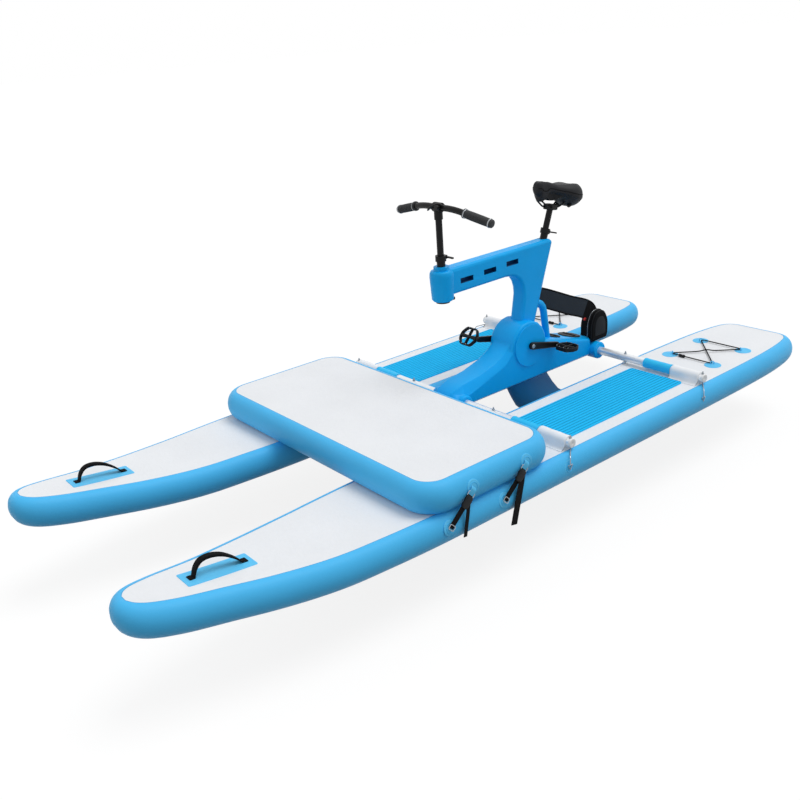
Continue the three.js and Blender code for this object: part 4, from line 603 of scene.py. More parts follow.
def swollen(half, thickness, bulge, lift=None, tape=0.9, inset=0.004, steps=22):
    """Points, faces and material numbers of a skin over an outline, given as its right half, (x, y)
    from one end to the other. Deck loops are (k x, y), and side loops are the outline plus b cos(a)
    along its normal at height t/2 (1 + sin(a)). Numbers are 0 on the deck, 2 on the tape, 1 below."""
    half = np.asarray(half, float)
    slope = np.gradient(half, axis=0)
    normal = unit(np.stack([slope[:, 1], -slope[:, 0]], 1))
    normal[0], normal[-1] = (0, -1), (0, 1)
    middle = half[:, 1].mean()

    def deck(k, z):
        """The outline shrunk to a share k, with its ends drawn in a little."""
        y = middle + (half[:, 1] - middle) * (1 - (1 - k) * inset)
        return np.stack([half[:, 0] * k, y], 1), z

    def side(a):
        """The outline moved out along its normal, a turn a round the swell."""
        out = (bulge + tape) * np.cos(a)
        return half + normal * out, thickness / 2 + (thickness / 2 + tape) * np.sin(a)

    angles = np.linspace(np.pi / 2, -np.pi / 2, steps - 1)
    angles = np.r_[angles[0], angles[0] - TAPE_TURN, angles[1:]]
    loops = [deck(k, thickness) for k in DECK_SHARES] + [side(a) for a in angles]
    loops += [deck(k, 0.0) for k in DECK_SHARES[::-1]]
    rows = [0] * len(DECK_SHARES) + [2] + [1] * (steps - 2) + [0] * len(DECK_SHARES)
    grid = []
    for flat, z in loops:
        both = np.concatenate([flat, flat[::-1] * (-1, 1)])
        height = np.full(len(both), z) + (lift(both[:, 1]) if lift else 0)
        grid.append(np.column_stack([both, height]))
    n, m = len(grid), len(grid[0])
    i, _, faces = quads(n, m)
    k = np.arange(m // 2 - 1)
    lid = np.stack([k, k + 1, m - 2 - k, m - 1 - k], 1)
    faces = faces.tolist() + lid[:, ::-1].tolist() + (lid + (n - 1) * m).tolist()
    return np.concatenate(grid), faces, np.r_[np.asarray(rows)[i], np.zeros(2 * len(k), int)]


def swollen_piece(name, half, thickness, bulge, move=(0, 0, 0), place=None, **how):
    """A swollen skin moved into place, by a shift or by a function of its points."""
    points, faces, numbers = swollen(half, thickness, bulge, **how)
    points = place(points) if place else points + np.array(move)
    return put(name, points, faces, None, 32, numbers)


board_half = smooth_path((OUTLINE - (0, 0.5)) * (BOARD_HALF, BOARD_LENGTH - 2 * BOARD_BULGE), 230)
for word, side in SIDES.items():
    board = swollen_piece("board_" + word, board_half, BOARD_THICKNESS, BOARD_BULGE, lift=board_lift,
                          move=(side * BOARD_X, 0, DECK - BOARD_THICKNESS))
    fit(board, "base", "board_skin", deck_white, side_blue, edge_blue, stands_for=["pontoon_" + word])
print("board", [round(v, 3) for v in board.dimensions], len(board.data.polygons), "faces")

# %% [markdown]
# The platform is a third inflated cushion, and its outline is a rounded rectangle. It lies across
# both boards, a hair above their decks, because two skins in one place would flicker. The same
# function makes it, so its side has the same round swell and tape as theirs.

# %% Platform
PLATFORM_Y0, PLATFORM_Y1, PLATFORM_HALF = -706.0, -130.0, 668
PLATFORM_CORNER, PLATFORM_THICKNESS, LAID = 80, 122, 0.3


def rounded_half(half_x, y0, y1, corner, steps=10):
    """Right half of a rounded rectangle, from the middle of its near edge to that of its far edge."""
    a = np.linspace(-np.pi / 2, 0, steps)
    near = np.stack([half_x - corner + corner * np.cos(a), y0 + corner + corner * np.sin(a)], 1)
    far = np.stack([near[:, 0], y0 + y1 - near[:, 1]], 1)[::-1]
    ends = np.linspace(0.02 * half_x, half_x - corner, 14)[:-1]
    straight = np.linspace(y0 + corner, y1 - corner, 30)[1:-1]
    return np.concatenate([
        np.stack([ends, np.full(len(ends), y0)], 1), near,
        np.stack([np.full(len(straight), half_x), straight], 1), far,
        np.stack([ends, np.full(len(ends), y1)], 1)[::-1]])


platform_half = rounded_half(PLATFORM_HALF, PLATFORM_Y0, PLATFORM_Y1, PLATFORM_CORNER, 16)
platform = swollen_piece("front_platform", platform_half, PLATFORM_THICKNESS, BOARD_BULGE, inset=0.9,
                         steps=26, move=(0, 0, DECK + LAID))
fit(platform, "base", "board_skin", deck_white, side_blue, edge_blue, stands_for=["platform"])
print("platform", [round(v, 3) for v in platform.dimensions])

# %% [markdown]
# The patches under the handles and the bungee are flat pieces of the side's fabric, welded on. They
# are the same swollen skin, only two millimetres thick, and those on a bow follow its rise. Each
# bungee patch holds a small wire eye that leans towards the middle of the cord's cross.

# %% Patches and eyes on the decks
HANDLE_Y = 352 - STERN
HANDLE_PATCH_HALF, HANDLE_PATCH_REACH, HANDLE_PATCH_THICKNESS = 43, 120, 2.6
BUNGEE_YS, BUNGEE_X = (STERN - 625, STERN - 625 + 255), 116.0
BUNGEE_PATCH_RADIUS, BUNGEE_PATCH_THICKNESS, PATCH_BULGE, SUNK = 37, 2.4, 1.2, 0.5
CORD_RADIUS, CORD_LEVEL = 2.8, DECK + 7.8
EYE_RADIUS, EYE_WIRE, EYE_REACH, QUARTER_TURN = 8, 2.2, 11, 1.57


def disc_half(radius, count=40):
    """Right half of a circle, from its nearest to its farthest point."""
    a = np.linspace(-np.pi / 2 + 0.02, np.pi / 2 - 0.02, count)
    return np.stack([radius * np.cos(a), radius * np.sin(a)], 1)


def welded_patch(name, half, thickness, bulge, **where):
    """A thin swollen piece without tape, in one colour."""
    piece = swollen_piece(name, half, thickness, bulge, tape=0, inset=0.9, steps=6, **where)
    return fit(piece, "base", "board_skin", *[patch_blue] * 3)


def on_bow(side):
    """Moves a flat patch to the handle's place and lifts it as the bow lifts."""
    def place(p):
        y = p[:, 1] + HANDLE_Y
        return np.stack([p[:, 0] + side * BOARD_X, y, p[:, 2] + DECK - SUNK + board_lift(y)], 1)
    return place


def bungee_eye(name, side, dx, y):
    """Wire eye in an upright plane square to the way from its patch to the cord's cross."""
    lean = math.atan2(np.mean(BUNGEE_YS) - y, -dx)
    toward = np.array([math.cos(lean), math.sin(lean), 0])
    loop = oval(EYE_RADIUS, EYE_RADIUS, 28)
    path = np.stack([loop[:, 0] * math.cos(lean + QUARTER_TURN),
                     loop[:, 0] * math.sin(lean + QUARTER_TURN), loop[:, 1]], 1)
    centre = np.array([side * BOARD_X + dx, y, CORD_LEVEL]) + EYE_REACH * toward
    wire = hoop(path + centre, oval(EYE_WIRE, EYE_WIRE, 10), toward + (0, 0, 0.01))
    return fit(skin(name, wire, ring=True), "base", "board_skin", patch_blue)


for word, side in SIDES.items():
    half = rounded_half(HANDLE_PATCH_HALF, -HANDLE_PATCH_REACH, HANDLE_PATCH_REACH, 5, 6)
    welded_patch("handle_patch_" + word, half, HANDLE_PATCH_THICKNESS, PATCH_BULGE, place=on_bow(side))
    for i, (dx, y) in enumerate((dx, y) for y in BUNGEE_YS for dx in (-BUNGEE_X, BUNGEE_X)):
        welded_patch("bungee_patch_%s_%d" % (word, i), disc_half(BUNGEE_PATCH_RADIUS),
                     BUNGEE_PATCH_THICKNESS, PATCH_BULGE, move=(side * BOARD_X + dx, y, DECK - SUNK))
        bungee_eye("bungee_eye_%s_%d" % (word, i), side, dx, y)

# %% [markdown]
# The deck pads are soft foam sheets with long grooves. A pad is one profile across its width, with
# every groove in it, carried along its length, and narrowed in rows near each end for the corners.
# Grooves drawn by relief alone would vanish at a low angle, so they are cut in the shape, and each
# point keeps how deep it lies, which the foam's finish reads to paint shade into the grooves.

# %% Deck pads
PAD_HALF, PAD_THICK, PAD_CORNER, PAD_EDGE, PAD_BORDER = 140.0, 6.0, 14.0, 1.5, 12
GROOVE_DEPTH, GROOVE_HALF = 2.4, 2.0
GROOVES = np.linspace(-PAD_HALF + PAD_BORDER, PAD_HALF - PAD_BORDER, 15)
PAD_Y0, PAD_Y1 = BAR_YS["front"] + 73.5, BAR_YS["rear"] - 43.5


def pad_profile():
    """Points (x, height, groove) over the top from left to right, then back along the bottom."""
    wall = np.array([-0.5, 0, 0.7]) - GROOVE_HALF
    x = (GROOVES[:, None] + np.r_[wall, -wall[::-1]]).ravel()
    groove = np.tile([0, 0.2, 1, 1, 0.2, 0], len(GROOVES))
    top = np.stack([x, PAD_THICK - GROOVE_DEPTH * groove, groove], 1)
    left = np.array([[-PAD_HALF, 0, 0], [-PAD_HALF, PAD_THICK - PAD_EDGE, 0],
                     [-PAD_HALF + PAD_EDGE, PAD_THICK, 0]])
    return np.concatenate([left, top, left[::-1] * (-1, 1, 1)])


profile = pad_profile()
ends = PAD_CORNER * (1 - np.cos(np.linspace(0, np.pi / 2, 8)))
pad_y = np.r_[PAD_Y0 + ends, np.linspace(PAD_Y0 + 20, PAD_Y1 - 20, 24), PAD_Y1 - ends[::-1]]
from_end = np.minimum(pad_y - PAD_Y0, PAD_Y1 - pad_y)
reach = PAD_HALF - PAD_CORNER + np.sqrt(PAD_CORNER ** 2 - np.maximum(0, PAD_CORNER - from_end) ** 2)
for word, side in SIDES.items():
    grid = np.empty((len(pad_y), len(profile), 3))
    grid[..., 0] = side * BOARD_X + np.clip(profile[:, 0], -reach[:, None], reach[:, None])
    grid[..., 1] = pad_y[:, None]
    grid[..., 2] = DECK + LAID + profile[:, 1]
    pad = skin("deck_foam_" + word, grid, sharp=30)
    # How deep each point lies in a groove, read by the foam's finish for its painted shade.
    shade_map = pad.data.attributes.new("groove", "FLOAT", "POINT")
    shade_map.data.foreach_set("value", np.r_[np.tile(profile[:, 2], len(pad_y)), 0, 0])
    fit(pad, "base", "pad_foam", pad_foam, stands_for=["deck_pad_" + word])
print("pads", len(pad.data.polygons), "faces each")

# %% [markdown]
# The bow handles are webbing: flat where they are sewn to the patch, and pinched narrower and
# thicker where a hand lifts them. Each is made level and then tipped by the bow's slope, which is
# simpler than bending it along the deck, and as close, because the deck is nearly straight there.

# %% Bow handles
HANDLE_ARCH = np.array([
    [-1, 0], [-0.92, 0.5], [-0.72, 0.88], [-0.36, 1], [0.16, 0.84], [0.66, 0.42], [1, 0]])
HANDLE_REACH, HANDLE_RISE, HANDLE_FOOT, HANDLE_STAND = 85.0, 56.0, 18.0, 4.6
HANDLE_THIN, HANDLE_WIDE, PINCH_THICKER, PINCH_NARROWER = 2.4, 13.5, 3.6, 1.5
arch = smooth_path(HANDLE_ARCH * (HANDLE_REACH, HANDLE_RISE), 46)
feet = np.linspace(HANDLE_FOOT, 2, 4)[:, None] * (1, 0)
line = np.concatenate([arch[0] - feet, arch, arch[-1] + feet[::-1]])
pinch = np.clip(line[:, 1] / HANDLE_RISE, 0, 1) ** 1.5
sizes = np.stack([HANDLE_THIN + PINCH_THICKER * pinch, HANDLE_WIDE - PINCH_NARROWER * pinch], 1)
path = np.stack([np.zeros(len(line)), line[:, 0], line[:, 1] + HANDLE_STAND], 1)
level_handle = swept(path, oval(1, 1, 28, 0.5)[None] * sizes[:, None], (1, 0, 0))
slope = math.atan2(board_lift(HANDLE_Y + HANDLE_PATCH_REACH) - board_lift(HANDLE_Y - HANDLE_PATCH_REACH),
                   2 * HANDLE_PATCH_REACH)
c, s = math.cos(slope), math.sin(slope)
for word, side in SIDES.items():
    x, y, z = np.moveaxis(level_handle, -1, 0)
    grid = np.stack([x + side * BOARD_X, y * c - z * s + HANDLE_Y,
                     y * s + z * c + DECK + board_lift(HANDLE_Y)], -1)
    fit(skin("carry_handle_" + word, grid), "base", "webbing", webbing, stands_for=["bow_handle_" + word])
print("handle arch", round(float(line[:, 1].max()), 1), "mm high")

# %% [markdown]
# The bungee is one elastic cord laced through four eyes. It passes over itself in the middle, by a
# bump of the form exp(-(d / 26)^2), and both its ends meet in a barrel lock, a turned profile. Taut
# cord runs straight between its eyes, so no simulation is needed: the path is its corners, rounded.

# %% Bungee cords and their locks
CORD_BEND, LOCK_SHARE, OVER_WIDTH, OVER_RISE = 30, 0.28, 26, 6.6
BARREL = mirrored([(5.2, -15), (7.0, -14), (7.4, -12), (7.4, -6), (6.2, -4.5)])
for word, side in SIDES.items():
    first, second, third, last = [
        np.array([side * (BOARD_X + dx * BUNGEE_X), BUNGEE_YS[i], CORD_LEVEL])
        for dx, i in ((-1, 0), (1, 1), (-1, 1), (1, 0))]
    lock = first + (last - first) * LOCK_SHARE
    inward = unit(last - first)
    path = rounded_path([lock - inward, first, second, third, last, lock + inward], CORD_BEND, 9)
    far = np.r_[0, np.cumsum(np.linalg.norm(np.diff(path, axis=0), axis=1))]
    even = np.linspace(0, far[-1], 150)
    path = np.stack([np.interp(even, far, path[:, k]) for k in range(3)], 1)
    from_cross = np.linalg.norm(path - (first + second) / 2, axis=1)
    path[:, 2] += (even < far[-1] * 0.45) * np.exp(-(from_cross / OVER_WIDTH) ** 2) * OVER_RISE
    cord = skin("bungee_cord_" + word, swept(path, oval(CORD_RADIUS, CORD_RADIUS, 12), (0, 0, 1)))
    fit(cord, "base", "webbing", webbing, stands_for=["stern_bungee_" + word])
    fit(turned("bungee_lock_" + word, BARREL, lock, inward, 32), "base", "webbing", black_plastic)
print("bungee", round(float(far[-1]), 0), "mm of cord on each board")

# %% [markdown]
# Each bar is an anodised tube with white end caps. A blue fabric sleeve and a white fabric pocket,
# welded to the deck, hold it on each board. All are turned about the bar's line or carried along it,
# and a slow wave with a raised hem at each end keeps the fabric from looking like pipe.

# %% Crossbars, caps and sleeves
BAR_RADIUS, BAR_HALF, CAP_LENGTH, BAR_EDGE = 19.0, 688.0, 9.0, 1.2
SLEEVE_X, SLEEVE_LENGTH, SLEEVE_THICK, HEM, HEM_WIDTH = 372.0, 146.0, 4.0, 6, 3.5
TUBE = mirrored([(BAR_RADIUS - BAR_EDGE, -BAR_HALF + CAP_LENGTH), (BAR_RADIUS, -BAR_HALF + CAP_LENGTH + 1)])
CAP = [(BAR_RADIUS, 0), (BAR_RADIUS + 0.4, 1), (BAR_RADIUS + 0.4, 6), (BAR_RADIUS - 1, 8.4),
       (BAR_RADIUS - 4, 9), (4, 9), (3, 8.2)]
d = np.linspace(0, SLEEVE_LENGTH, 60)
hem = np.exp(-((np.minimum(d, SLEEVE_LENGTH - d) - HEM) / HEM_WIDTH) ** 2)
cuff = BAR_RADIUS - 0.5
SLEEVE = [(cuff, 1.5), *zip(BAR_RADIUS + SLEEVE_THICK + 0.9 * hem + 0.25 * np.sin(d / 7), d),
          (cuff, SLEEVE_LENGTH - 1.5)]
print("sleeve", round(2 * max(radius for radius, _ in SLEEVE), 1), "mm across")

# %% [markdown]
# A pocket is a strip of the deck's fabric folded over the bar. Its outline is the same all along,
# but puffs in and out a little, and a draped sheet would only hide that its seams are straight.

# %% Pockets
POCKET_X, POCKET_LENGTH, POCKET_RADIUS, POCKET_RISE = 521.0, 145.0, 25.5, 30
SKIRT = np.array([[42.5, 0.3], [43, 1.2]])


def pocket_section(puff):
    """Outline round the bar: a skirt on the deck, a hollow curve up, and a half circle over the top."""
    a, radius = np.linspace(0, np.pi, 28), POCKET_RADIUS + puff
    over = np.stack([radius * np.cos(a), POCKET_RISE + radius * np.sin(a)], 1)
    t = np.linspace(0, 1, 9)[:-1, None]
    foot, hollow, shoulder = np.array([[42, 2.6], [21, 2.0], [radius, POCKET_RISE]])
    up = (1 - t) ** 2 * foot + 2 * t * (1 - t) * hollow + t ** 2 * shoulder
    right = np.concatenate([SKIRT, up])
    return np.concatenate([right, over, (right * (-1, 1))[::-1]])


d = np.linspace(0, POCKET_LENGTH, 40)
puffs = 0.5 * np.sin(d / 11) - 2.2 * np.exp(-(np.minimum(d, POCKET_LENGTH - d) / 2.0) ** 2)
pocket_outline = np.stack([pocket_section(p) for p in puffs])
for spot, y in BAR_YS.items():
    centre = np.array([0, y, BAR_LEVEL])
    fit(turned("bar_tube_" + spot, TUBE, centre, (1, 0, 0), 64), "base", "bar_aluminium", bar_silver,
        stands_for=["crossbar_" + spot])
    for word, side in SIDES.items():
        label, outward = "%s_%s" % (spot, word), np.array([side, 0, 0])
        fit(turned("bar_cap_" + label, CAP, centre + outward * (BAR_HALF - CAP_LENGTH), outward, 48),
            "base", "white_plastic", white_plastic)
        fit(turned("bar_sleeve_" + label, SLEEVE, centre + outward * SLEEVE_X, outward, 48),
            "base", "bar_aluminium", sleeve_blue)
        x = np.broadcast_to(side * (POCKET_X + d[:, None]), pocket_outline.shape[:2])
        grid = np.stack([x, y + pocket_outline[..., 0], DECK + pocket_outline[..., 1]], -1)
        fit(skin("pocket_" + label, grid, sharp=50), "base", "white_plastic", pocket_white,
            stands_for=["bar_pocket_" + label])
print("bars", 2 * BAR_HALF, "mm long")

# %% [markdown]
# Round patches are welded to the sides of the boards and the platform, and each has a raised welt.
# They are made flat and then bent over the side, as the fabric is when it is glued on, because a
# flat disc would dig into the swell in the middle or stand off it at the rim.

# %% Patches on the sides
STRAP_X, PATCH_X, SIDE_RADIUS = 717.8, 713.0, 60.5
SIDE_PATCH_RADIUS, SIDE_PATCH_THICKNESS, SIDE_PATCH_BULGE = 27, 3.6, 1.6
WELT_RADIUS, WELT_LEVEL, WELT_WIRE = 18, 3.4, 1.5
PLATFORM_SIDE, BOARD_SIDE = (DECK + 69, DECK + 61), (DECK - 46, DECK - 60)
STRAP_DROP, CLIP_BACK = 123, 50
STRAPS = {
    # place along the bike, lean of the tail in degrees, its length and width
    "front": (-530.0, 46.0, 86.0, 17.0), "rear": (-261.0, 18.0, 122.0, 32.0)}
a = np.linspace(0, 2 * np.pi, 49)[:-1]
welt_circle = np.stack([WELT_RADIUS * np.cos(a), WELT_RADIUS * np.sin(a), np.full(len(a), WELT_LEVEL)], 1)


def on_side(side, y, z, centre):
    """Turns a flat patch on its edge against a round side: x falls by b (1 - cos a), sin a = h / r."""
    def place(p):
        share = np.clip((z + p[:, 0] - centre) / SIDE_RADIUS, -1, 1)
        fall = BOARD_BULGE * (1 - np.sqrt(1 - share ** 2))
        return np.stack([side * (PATCH_X + p[:, 2] - fall), y + p[:, 1], z + p[:, 0]], 1)
    return place


PATCH_SPOTS = [("platform_" + k, v[0] - 6, PLATFORM_SIDE) for k, v in STRAPS.items()]
PATCH_SPOTS += [("board_" + k, v[0] - STRAP_DROP, BOARD_SIDE) for k, v in STRAPS.items()]
PATCH_SPOTS += [("bar_" + k, y - CLIP_BACK, BOARD_SIDE) for k, y in BAR_YS.items()]


def side_patches(word, side):
    """A round patch and its welt at every spot of one side."""
    for spot, y, (z, centre) in PATCH_SPOTS:
        label, place = "%s_%s" % (spot, word), on_side(side, y, z, centre)
        welded_patch("side_patch_" + label, disc_half(SIDE_PATCH_RADIUS), SIDE_PATCH_THICKNESS,
                     SIDE_PATCH_BULGE, place=place)
        welt = hoop(place(welt_circle), oval(WELT_WIRE, WELT_WIRE, 8), (side, 0, 0))
        fit(skin("side_welt_" + label, welt, ring=True), "base", "board_skin", side_blue)


print(len(PATCH_SPOTS), "patches on each side")

# %% [markdown]
# Four straps hold the platform: each runs from a ring on a round patch, through a buckle, to a ring
# on the board, and its tail hangs free. Webbing keeps its width and bends only about it, so a strap is
# a thin flat section carried along a curve in the side's plane, standing off it where it bulges.

# %% Platform straps and their rings
STRAP_TOP, STRAP_FOOT, STRAP_WIDTH, STRAP_THICK = 75, 44, 25, 3.0
TAIL_START, TAIL_THICK, TAB_WIDTH, TAB_THICK = 0.34, 2.2, 27, 3.4
BUCKLE_HALF, BUCKLE_LIFT, BUCKLE_ENDS = (18, 5.5), 5.5, (0.2, 0.75, 0.95)
RING_LIFT, RING_WIRE, RING_LONG = 3.6, 1.5, 9
RINGS = {"upper": (0.20, 17), "lower": (0.98, 14)}


def off_side(line, side):
    """Points (stand-off, y, z) set off the side's plane."""
    return np.stack([side * (STRAP_X + line[:, 0]), line[:, 1], line[:, 2]], 1)


def band_on_side(name, points, width, thickness, side, count=40):
    """Band whose points are (stand-off, y, z); its width lies in the side's plane."""
    path = off_side(smooth_path(points, count), side)
    run = unit(np.gradient(path, axis=0))
    across = unit(np.cross(run, np.array([side, 0, 0.0])))
    lifted = np.cross(across, run)
    shape = oval(width / 2, thickness / 2, 24, 0.35)[None]
    grid = path[:, None] + shape[..., :1] * across[:, None] + shape[..., 1:] * lifted[:, None]
    return skin(name, grid, sharp=50)


def down_strap(top, way, *stops):
    """Points at shares of the way down a strap, each lifted off it by so much."""
    return [top + way * share + (lift, 0, 0) for share, lift in stops]


def strap_tail(top, way, lean, length):
    """Points of the loose end, which leans by its angle and hangs down past the strap's foot."""
    start = top + way * TAIL_START
    lean = math.radians(lean)
    end = top + way + np.array([0, math.sin(lean), -math.cos(lean)]) * length
    return [start + (3, 6, 10), start + (8, 0, -6), start + (end - start) * 0.35 + (9, 0, 0),
            start + (end - start) * 0.7 + (6, 0, 0), end + (4, 0, 0)]


def strap_buckle(top, way, side):
    """Grid of the buckle: a squared oval along the strap, smaller towards both ends."""
    stops = down_strap(top, way, *[(share, BUCKLE_LIFT) for share in (0.24, 0.32, 0.42, 0.52)])
    path = off_side(smooth_path(stops, 16), side)
    grow = np.array([*BUCKLE_ENDS, *([1.0] * 10), 0.95, 0.7, 0.2])[:, None, None]
    section = oval(*BUCKLE_HALF, 28, 0.45)[None] * (0.55 + 0.45 * grow)
    across = unit(np.cross(unit(way * (side, 1, 1)), (side, 0, 0)))
    return path[:, None] + section[..., :1] * across + section[..., 1:] * np.array([side, 0, 0])


def strap_ring(top, way, side, share, wide):
    """Grid of a squared wire ring whose long side lies across the strap."""
    along, wire = unit(way), oval(1, 1, 40, 0.35)
    over = unit(np.cross(along, (1.0, 0, 0)))
    ring = top + way * share + wire[:, :1] * over * wide + wire[:, 1:] * along * RING_LONG
    return hoop(off_side(ring + (RING_LIFT, 0, 0), side), oval(RING_WIRE, RING_WIRE, 10), (side, 0, 0))


for word, side in SIDES.items():
    side_patches(word, side)
    for spot, (y, lean, tail, width) in STRAPS.items():
        label = "%s_%s" % (spot, word)
        top = np.array([0, y, DECK + STRAP_TOP])
        way = np.array([0, y - STRAP_DROP, DECK - STRAP_FOOT]) - top
        stops = down_strap(top, way, (0.17, 1), (0.25, 3), (0.5, 2.5), (0.8, 1), (1, 0))
        fit(band_on_side("strap_" + label, stops, STRAP_WIDTH, STRAP_THICK, side),
            "base", "webbing", webbing, stands_for=["platform_strap_" + label])
        stops = strap_tail(top, way, lean, tail)
        fit(band_on_side("strap_tail_" + label, stops, width, TAIL_THICK, side, 60),
            "base", "webbing", webbing)
        fit(skin("strap_buckle_" + label, strap_buckle(top, way, side)), "base", "webbing", black_plastic)
        stops = down_strap(top, way, (0.04, -2.5), (0.08, 3.0), (0.15, 3.8), (0.22, 2.6))
        fit(band_on_side("ring_tab_" + label, stops, TAB_WIDTH, TAB_THICK, side, 16),
            "base", "board_skin", patch_blue)
        for end, (share, wide) in RINGS.items():
            ring = strap_ring(top, way, side, share, wide)
            fit(skin("strap_ring_%s_%s" % (end, label), ring, ring=True), "base", "steel", steel)

# %% [markdown]
# The handlebar is one bent tube, so a circle is carried along its bent centre line. Each grip is
# ribbed rubber between two metal rings: a profile with many small waves, turned about the tube.
# Real waves cost few faces on a turned piece and also show in its outline, which relief doesn't.

# %% Handlebar and grips
BAR_TOP, BAR_KNEE, BAR_TIP = 1262.0, 97.0, np.array([278.0, 27.0, 1220.0])
BAR_BEND, TUBE_RADIUS = 45, 13
GRIP_LENGTH, GRIP_RADIUS, RIB_PITCH = 138.0, 17.0, 4.0
GRIP_RINGS = {"inner": (7.6, 19.2), "outer": (GRIP_LENGTH - 8.0, 18.6)}
tips = [BAR_TIP * (side, 1, 1) for side in (1, -1)]
knees = [np.array([side * BAR_KNEE, 0, BAR_TOP]) for side in (1, -1)]
bend = rounded_path([tips[0], *knees, tips[1]], BAR_BEND, 14)
tube = skin("bent_handlebar", swept(bend, oval(TUBE_RADIUS, TUBE_RADIUS, 32), (0, 0, 1)), sharp=50)
fit(tube, "bar_post", "black_metal", black_coat, stands_for=["handlebar"])


def grip_profile():
    """Radius along the grip: a plateau times waves 4 mm apart, with a flange at each end."""
    d = np.linspace(9, GRIP_LENGTH - 5, 190)
    middle = np.clip(np.minimum(d - 14, GRIP_LENGTH - 12 - d) / 6, 0, 1)
    waves = 0.75 * np.sin(d * 2 * np.pi / RIB_PITCH) + 0.7 * np.sin(np.pi * d / GRIP_LENGTH)
    flange = [(13.2, 0.4), (18.8, 0.4), (20, 1.4), (20, 6.0), (18.4, 7.2)]
    rounded_end = [(GRIP_RADIUS, GRIP_LENGTH - 3), (16.6, GRIP_LENGTH + 2), (14.6, GRIP_LENGTH + 4),
                   (5, GRIP_LENGTH + 4)]
    return flange + list(zip(GRIP_RADIUS - 0.4 + middle * waves, d)) + rounded_end


for word, tip, knee in zip(SIDES, tips, knees):
    way = unit(tip - knee)
    inner = tip - way * GRIP_LENGTH
    fit(turned("rubber_grip_" + word, grip_profile(), inner, way, 48, sharp=60),
        "bar_post", "grip_rubber", grip_rubber, stands_for=["grip_" + word])
    for label, (at, radius) in GRIP_RINGS.items():
        ring = mirrored([(16.6, -2.2), (radius, -2.2), (radius + 0.5, -1.4)])
        fit(turned("grip_ring_%s_%s" % (label, word), ring, inner + way * at, way, 40),
            "bar_post", "steel", steel)
print("handlebar", round(2 * BAR_TIP[0]), "mm wide")

# %% [markdown]
# A short lever on the bar clamp lies over a small barrel. It is an oval that narrows by the cube of
# the distance from its middle, carried along a curve, because a lever has no flat face to start
# a box from.

# %% Clamp lever
LEVER = np.array([(-34, -26, 1250), (-22, -27, 1260), (4, -24, 1274), (26, -16, 1280), (38, -8, 1272)])
LEVER_HALF, LEVER_TAPER, LEVER_FLAT = 6.5, 2.5, 0.6
wide = LEVER_HALF - LEVER_TAPER * np.abs(np.linspace(-1, 1, 30)) ** 3
section = oval(1, 1, 20, 0.6)[None] * np.stack([wide, wide * LEVER_FLAT], 1)[:, None]
fit(skin("clamp_lever", swept(smooth_path(LEVER, 30), section, (0, 0, 1))),
    "bar_post", "black_metal", black_coat)
fit(turned("clamp_barrel", mirrored([(9.5, -13), (11, -11.5)]), (20, -19, 1268), (0, 1, 0.2), 32),
    "bar_post", "black_metal", black_coat)
print("clamp lever", round(float(np.ptp(LEVER[:, 0]))), "mm long")

# %% [markdown]
# The saddle is padded foam under a stretched grained cover. Its half width, top and bottom change
# from nose to tail, so each cross section is an oval of those sizes: pulled in below its widest
# line, where the cover is drawn over the shell, with a shallow channel along the middle of the top.
# Sculpting could do it too, but a table of shares is easier to set against the photograph.

# %% Saddle
SADDLE = np.array([
    # along, half width, top and bottom, as shares
    [0.0, 0.12, 0.82, 0.55], [0.02, 0.25, 0.94, 0.46], [0.07, 0.32, 0.99, 0.38], [0.1, 0.34, 1.0, 0.22],
    [0.18, 0.36, 0.99, 0.21], [0.25, 0.38, 0.97, 0.42], [0.35, 0.44, 0.92, 0.44], [0.46, 0.57, 0.88, 0.37],
    [0.58, 0.78, 0.88, 0.29], [0.7, 0.95, 0.91, 0.14], [0.82, 1.0, 0.93, 0.02], [0.92, 0.94, 0.91, 0.0],
    [0.98, 0.74, 0.8, 0.12], [1.0, 0.38, 0.66, 0.3]])
SADDLE_LENGTH, SADDLE_HALF, SADDLE_TALL, SADDLE_TILT = 252.0, 84.0, 118.0, math.radians(-8)
SEAT_HEAD, HEAD_SHARE = np.array([0, 677.25, 1145.3]), 0.437
WAIST_SHARE, TUCK, CHANNEL_DEPTH, CHANNEL_HALF = 0.4, 0.3, 0.07, 0.4


def saddle_grid(rows, sides, swell=0.0):
    """Rows from nose to tail of ovals x = w cos^0.75, z = waist + (top - waist) sin^0.8 above the
    widest line and waist + (waist - bottom) sin below it, less a channel 1 - (cos / 0.4)^2."""
    shares = smooth_path(SADDLE, rows)
    a = 2 * np.pi * (np.arange(sides) + 0.5) / sides
    across, up = np.cos(a)[None], np.sin(a)[None]
    along, half, top, bottom = [shares[:, k:k + 1] for k in range(4)]
    waist = bottom + (top - bottom) * WAIST_SHARE
    channel = CHANNEL_DEPTH * (top - bottom) * np.maximum(0, 1 - (across / CHANNEL_HALF) ** 2)
    above = waist + (top - waist) * np.abs(up) ** 0.8 - channel
    height = np.where(up > 0, above, waist + (waist - bottom) * up)
    x = (SADDLE_HALF * half + swell) * np.sign(across) * np.abs(across) ** 0.75
    x = x * (1 + TUCK * np.minimum(up, 0))
    y = np.broadcast_to(SADDLE_LENGTH * (along - HEAD_SHARE), x.shape)
    return np.stack([x, y, SADDLE_TALL * height], -1)


def on_seat(grid):
    """Tips the saddle's own frame by its tilt and moves it to the seat post's head."""
    c, s = math.cos(SADDLE_TILT), math.sin(SADDLE_TILT)
    x, y, z = np.moveaxis(grid, -1, 0)
    return np.stack([x, y * c - z * s, y * s + z * c], -1) + SEAT_HEAD


cover = skin("saddle_cushion", on_seat(saddle_grid(72, 64)), sharp=70)
fit(cover, "seat", "saddle_cover", saddle_cover, stands_for=["saddle"])
print("saddle", [round(v, 3) for v in cover.dimensions])

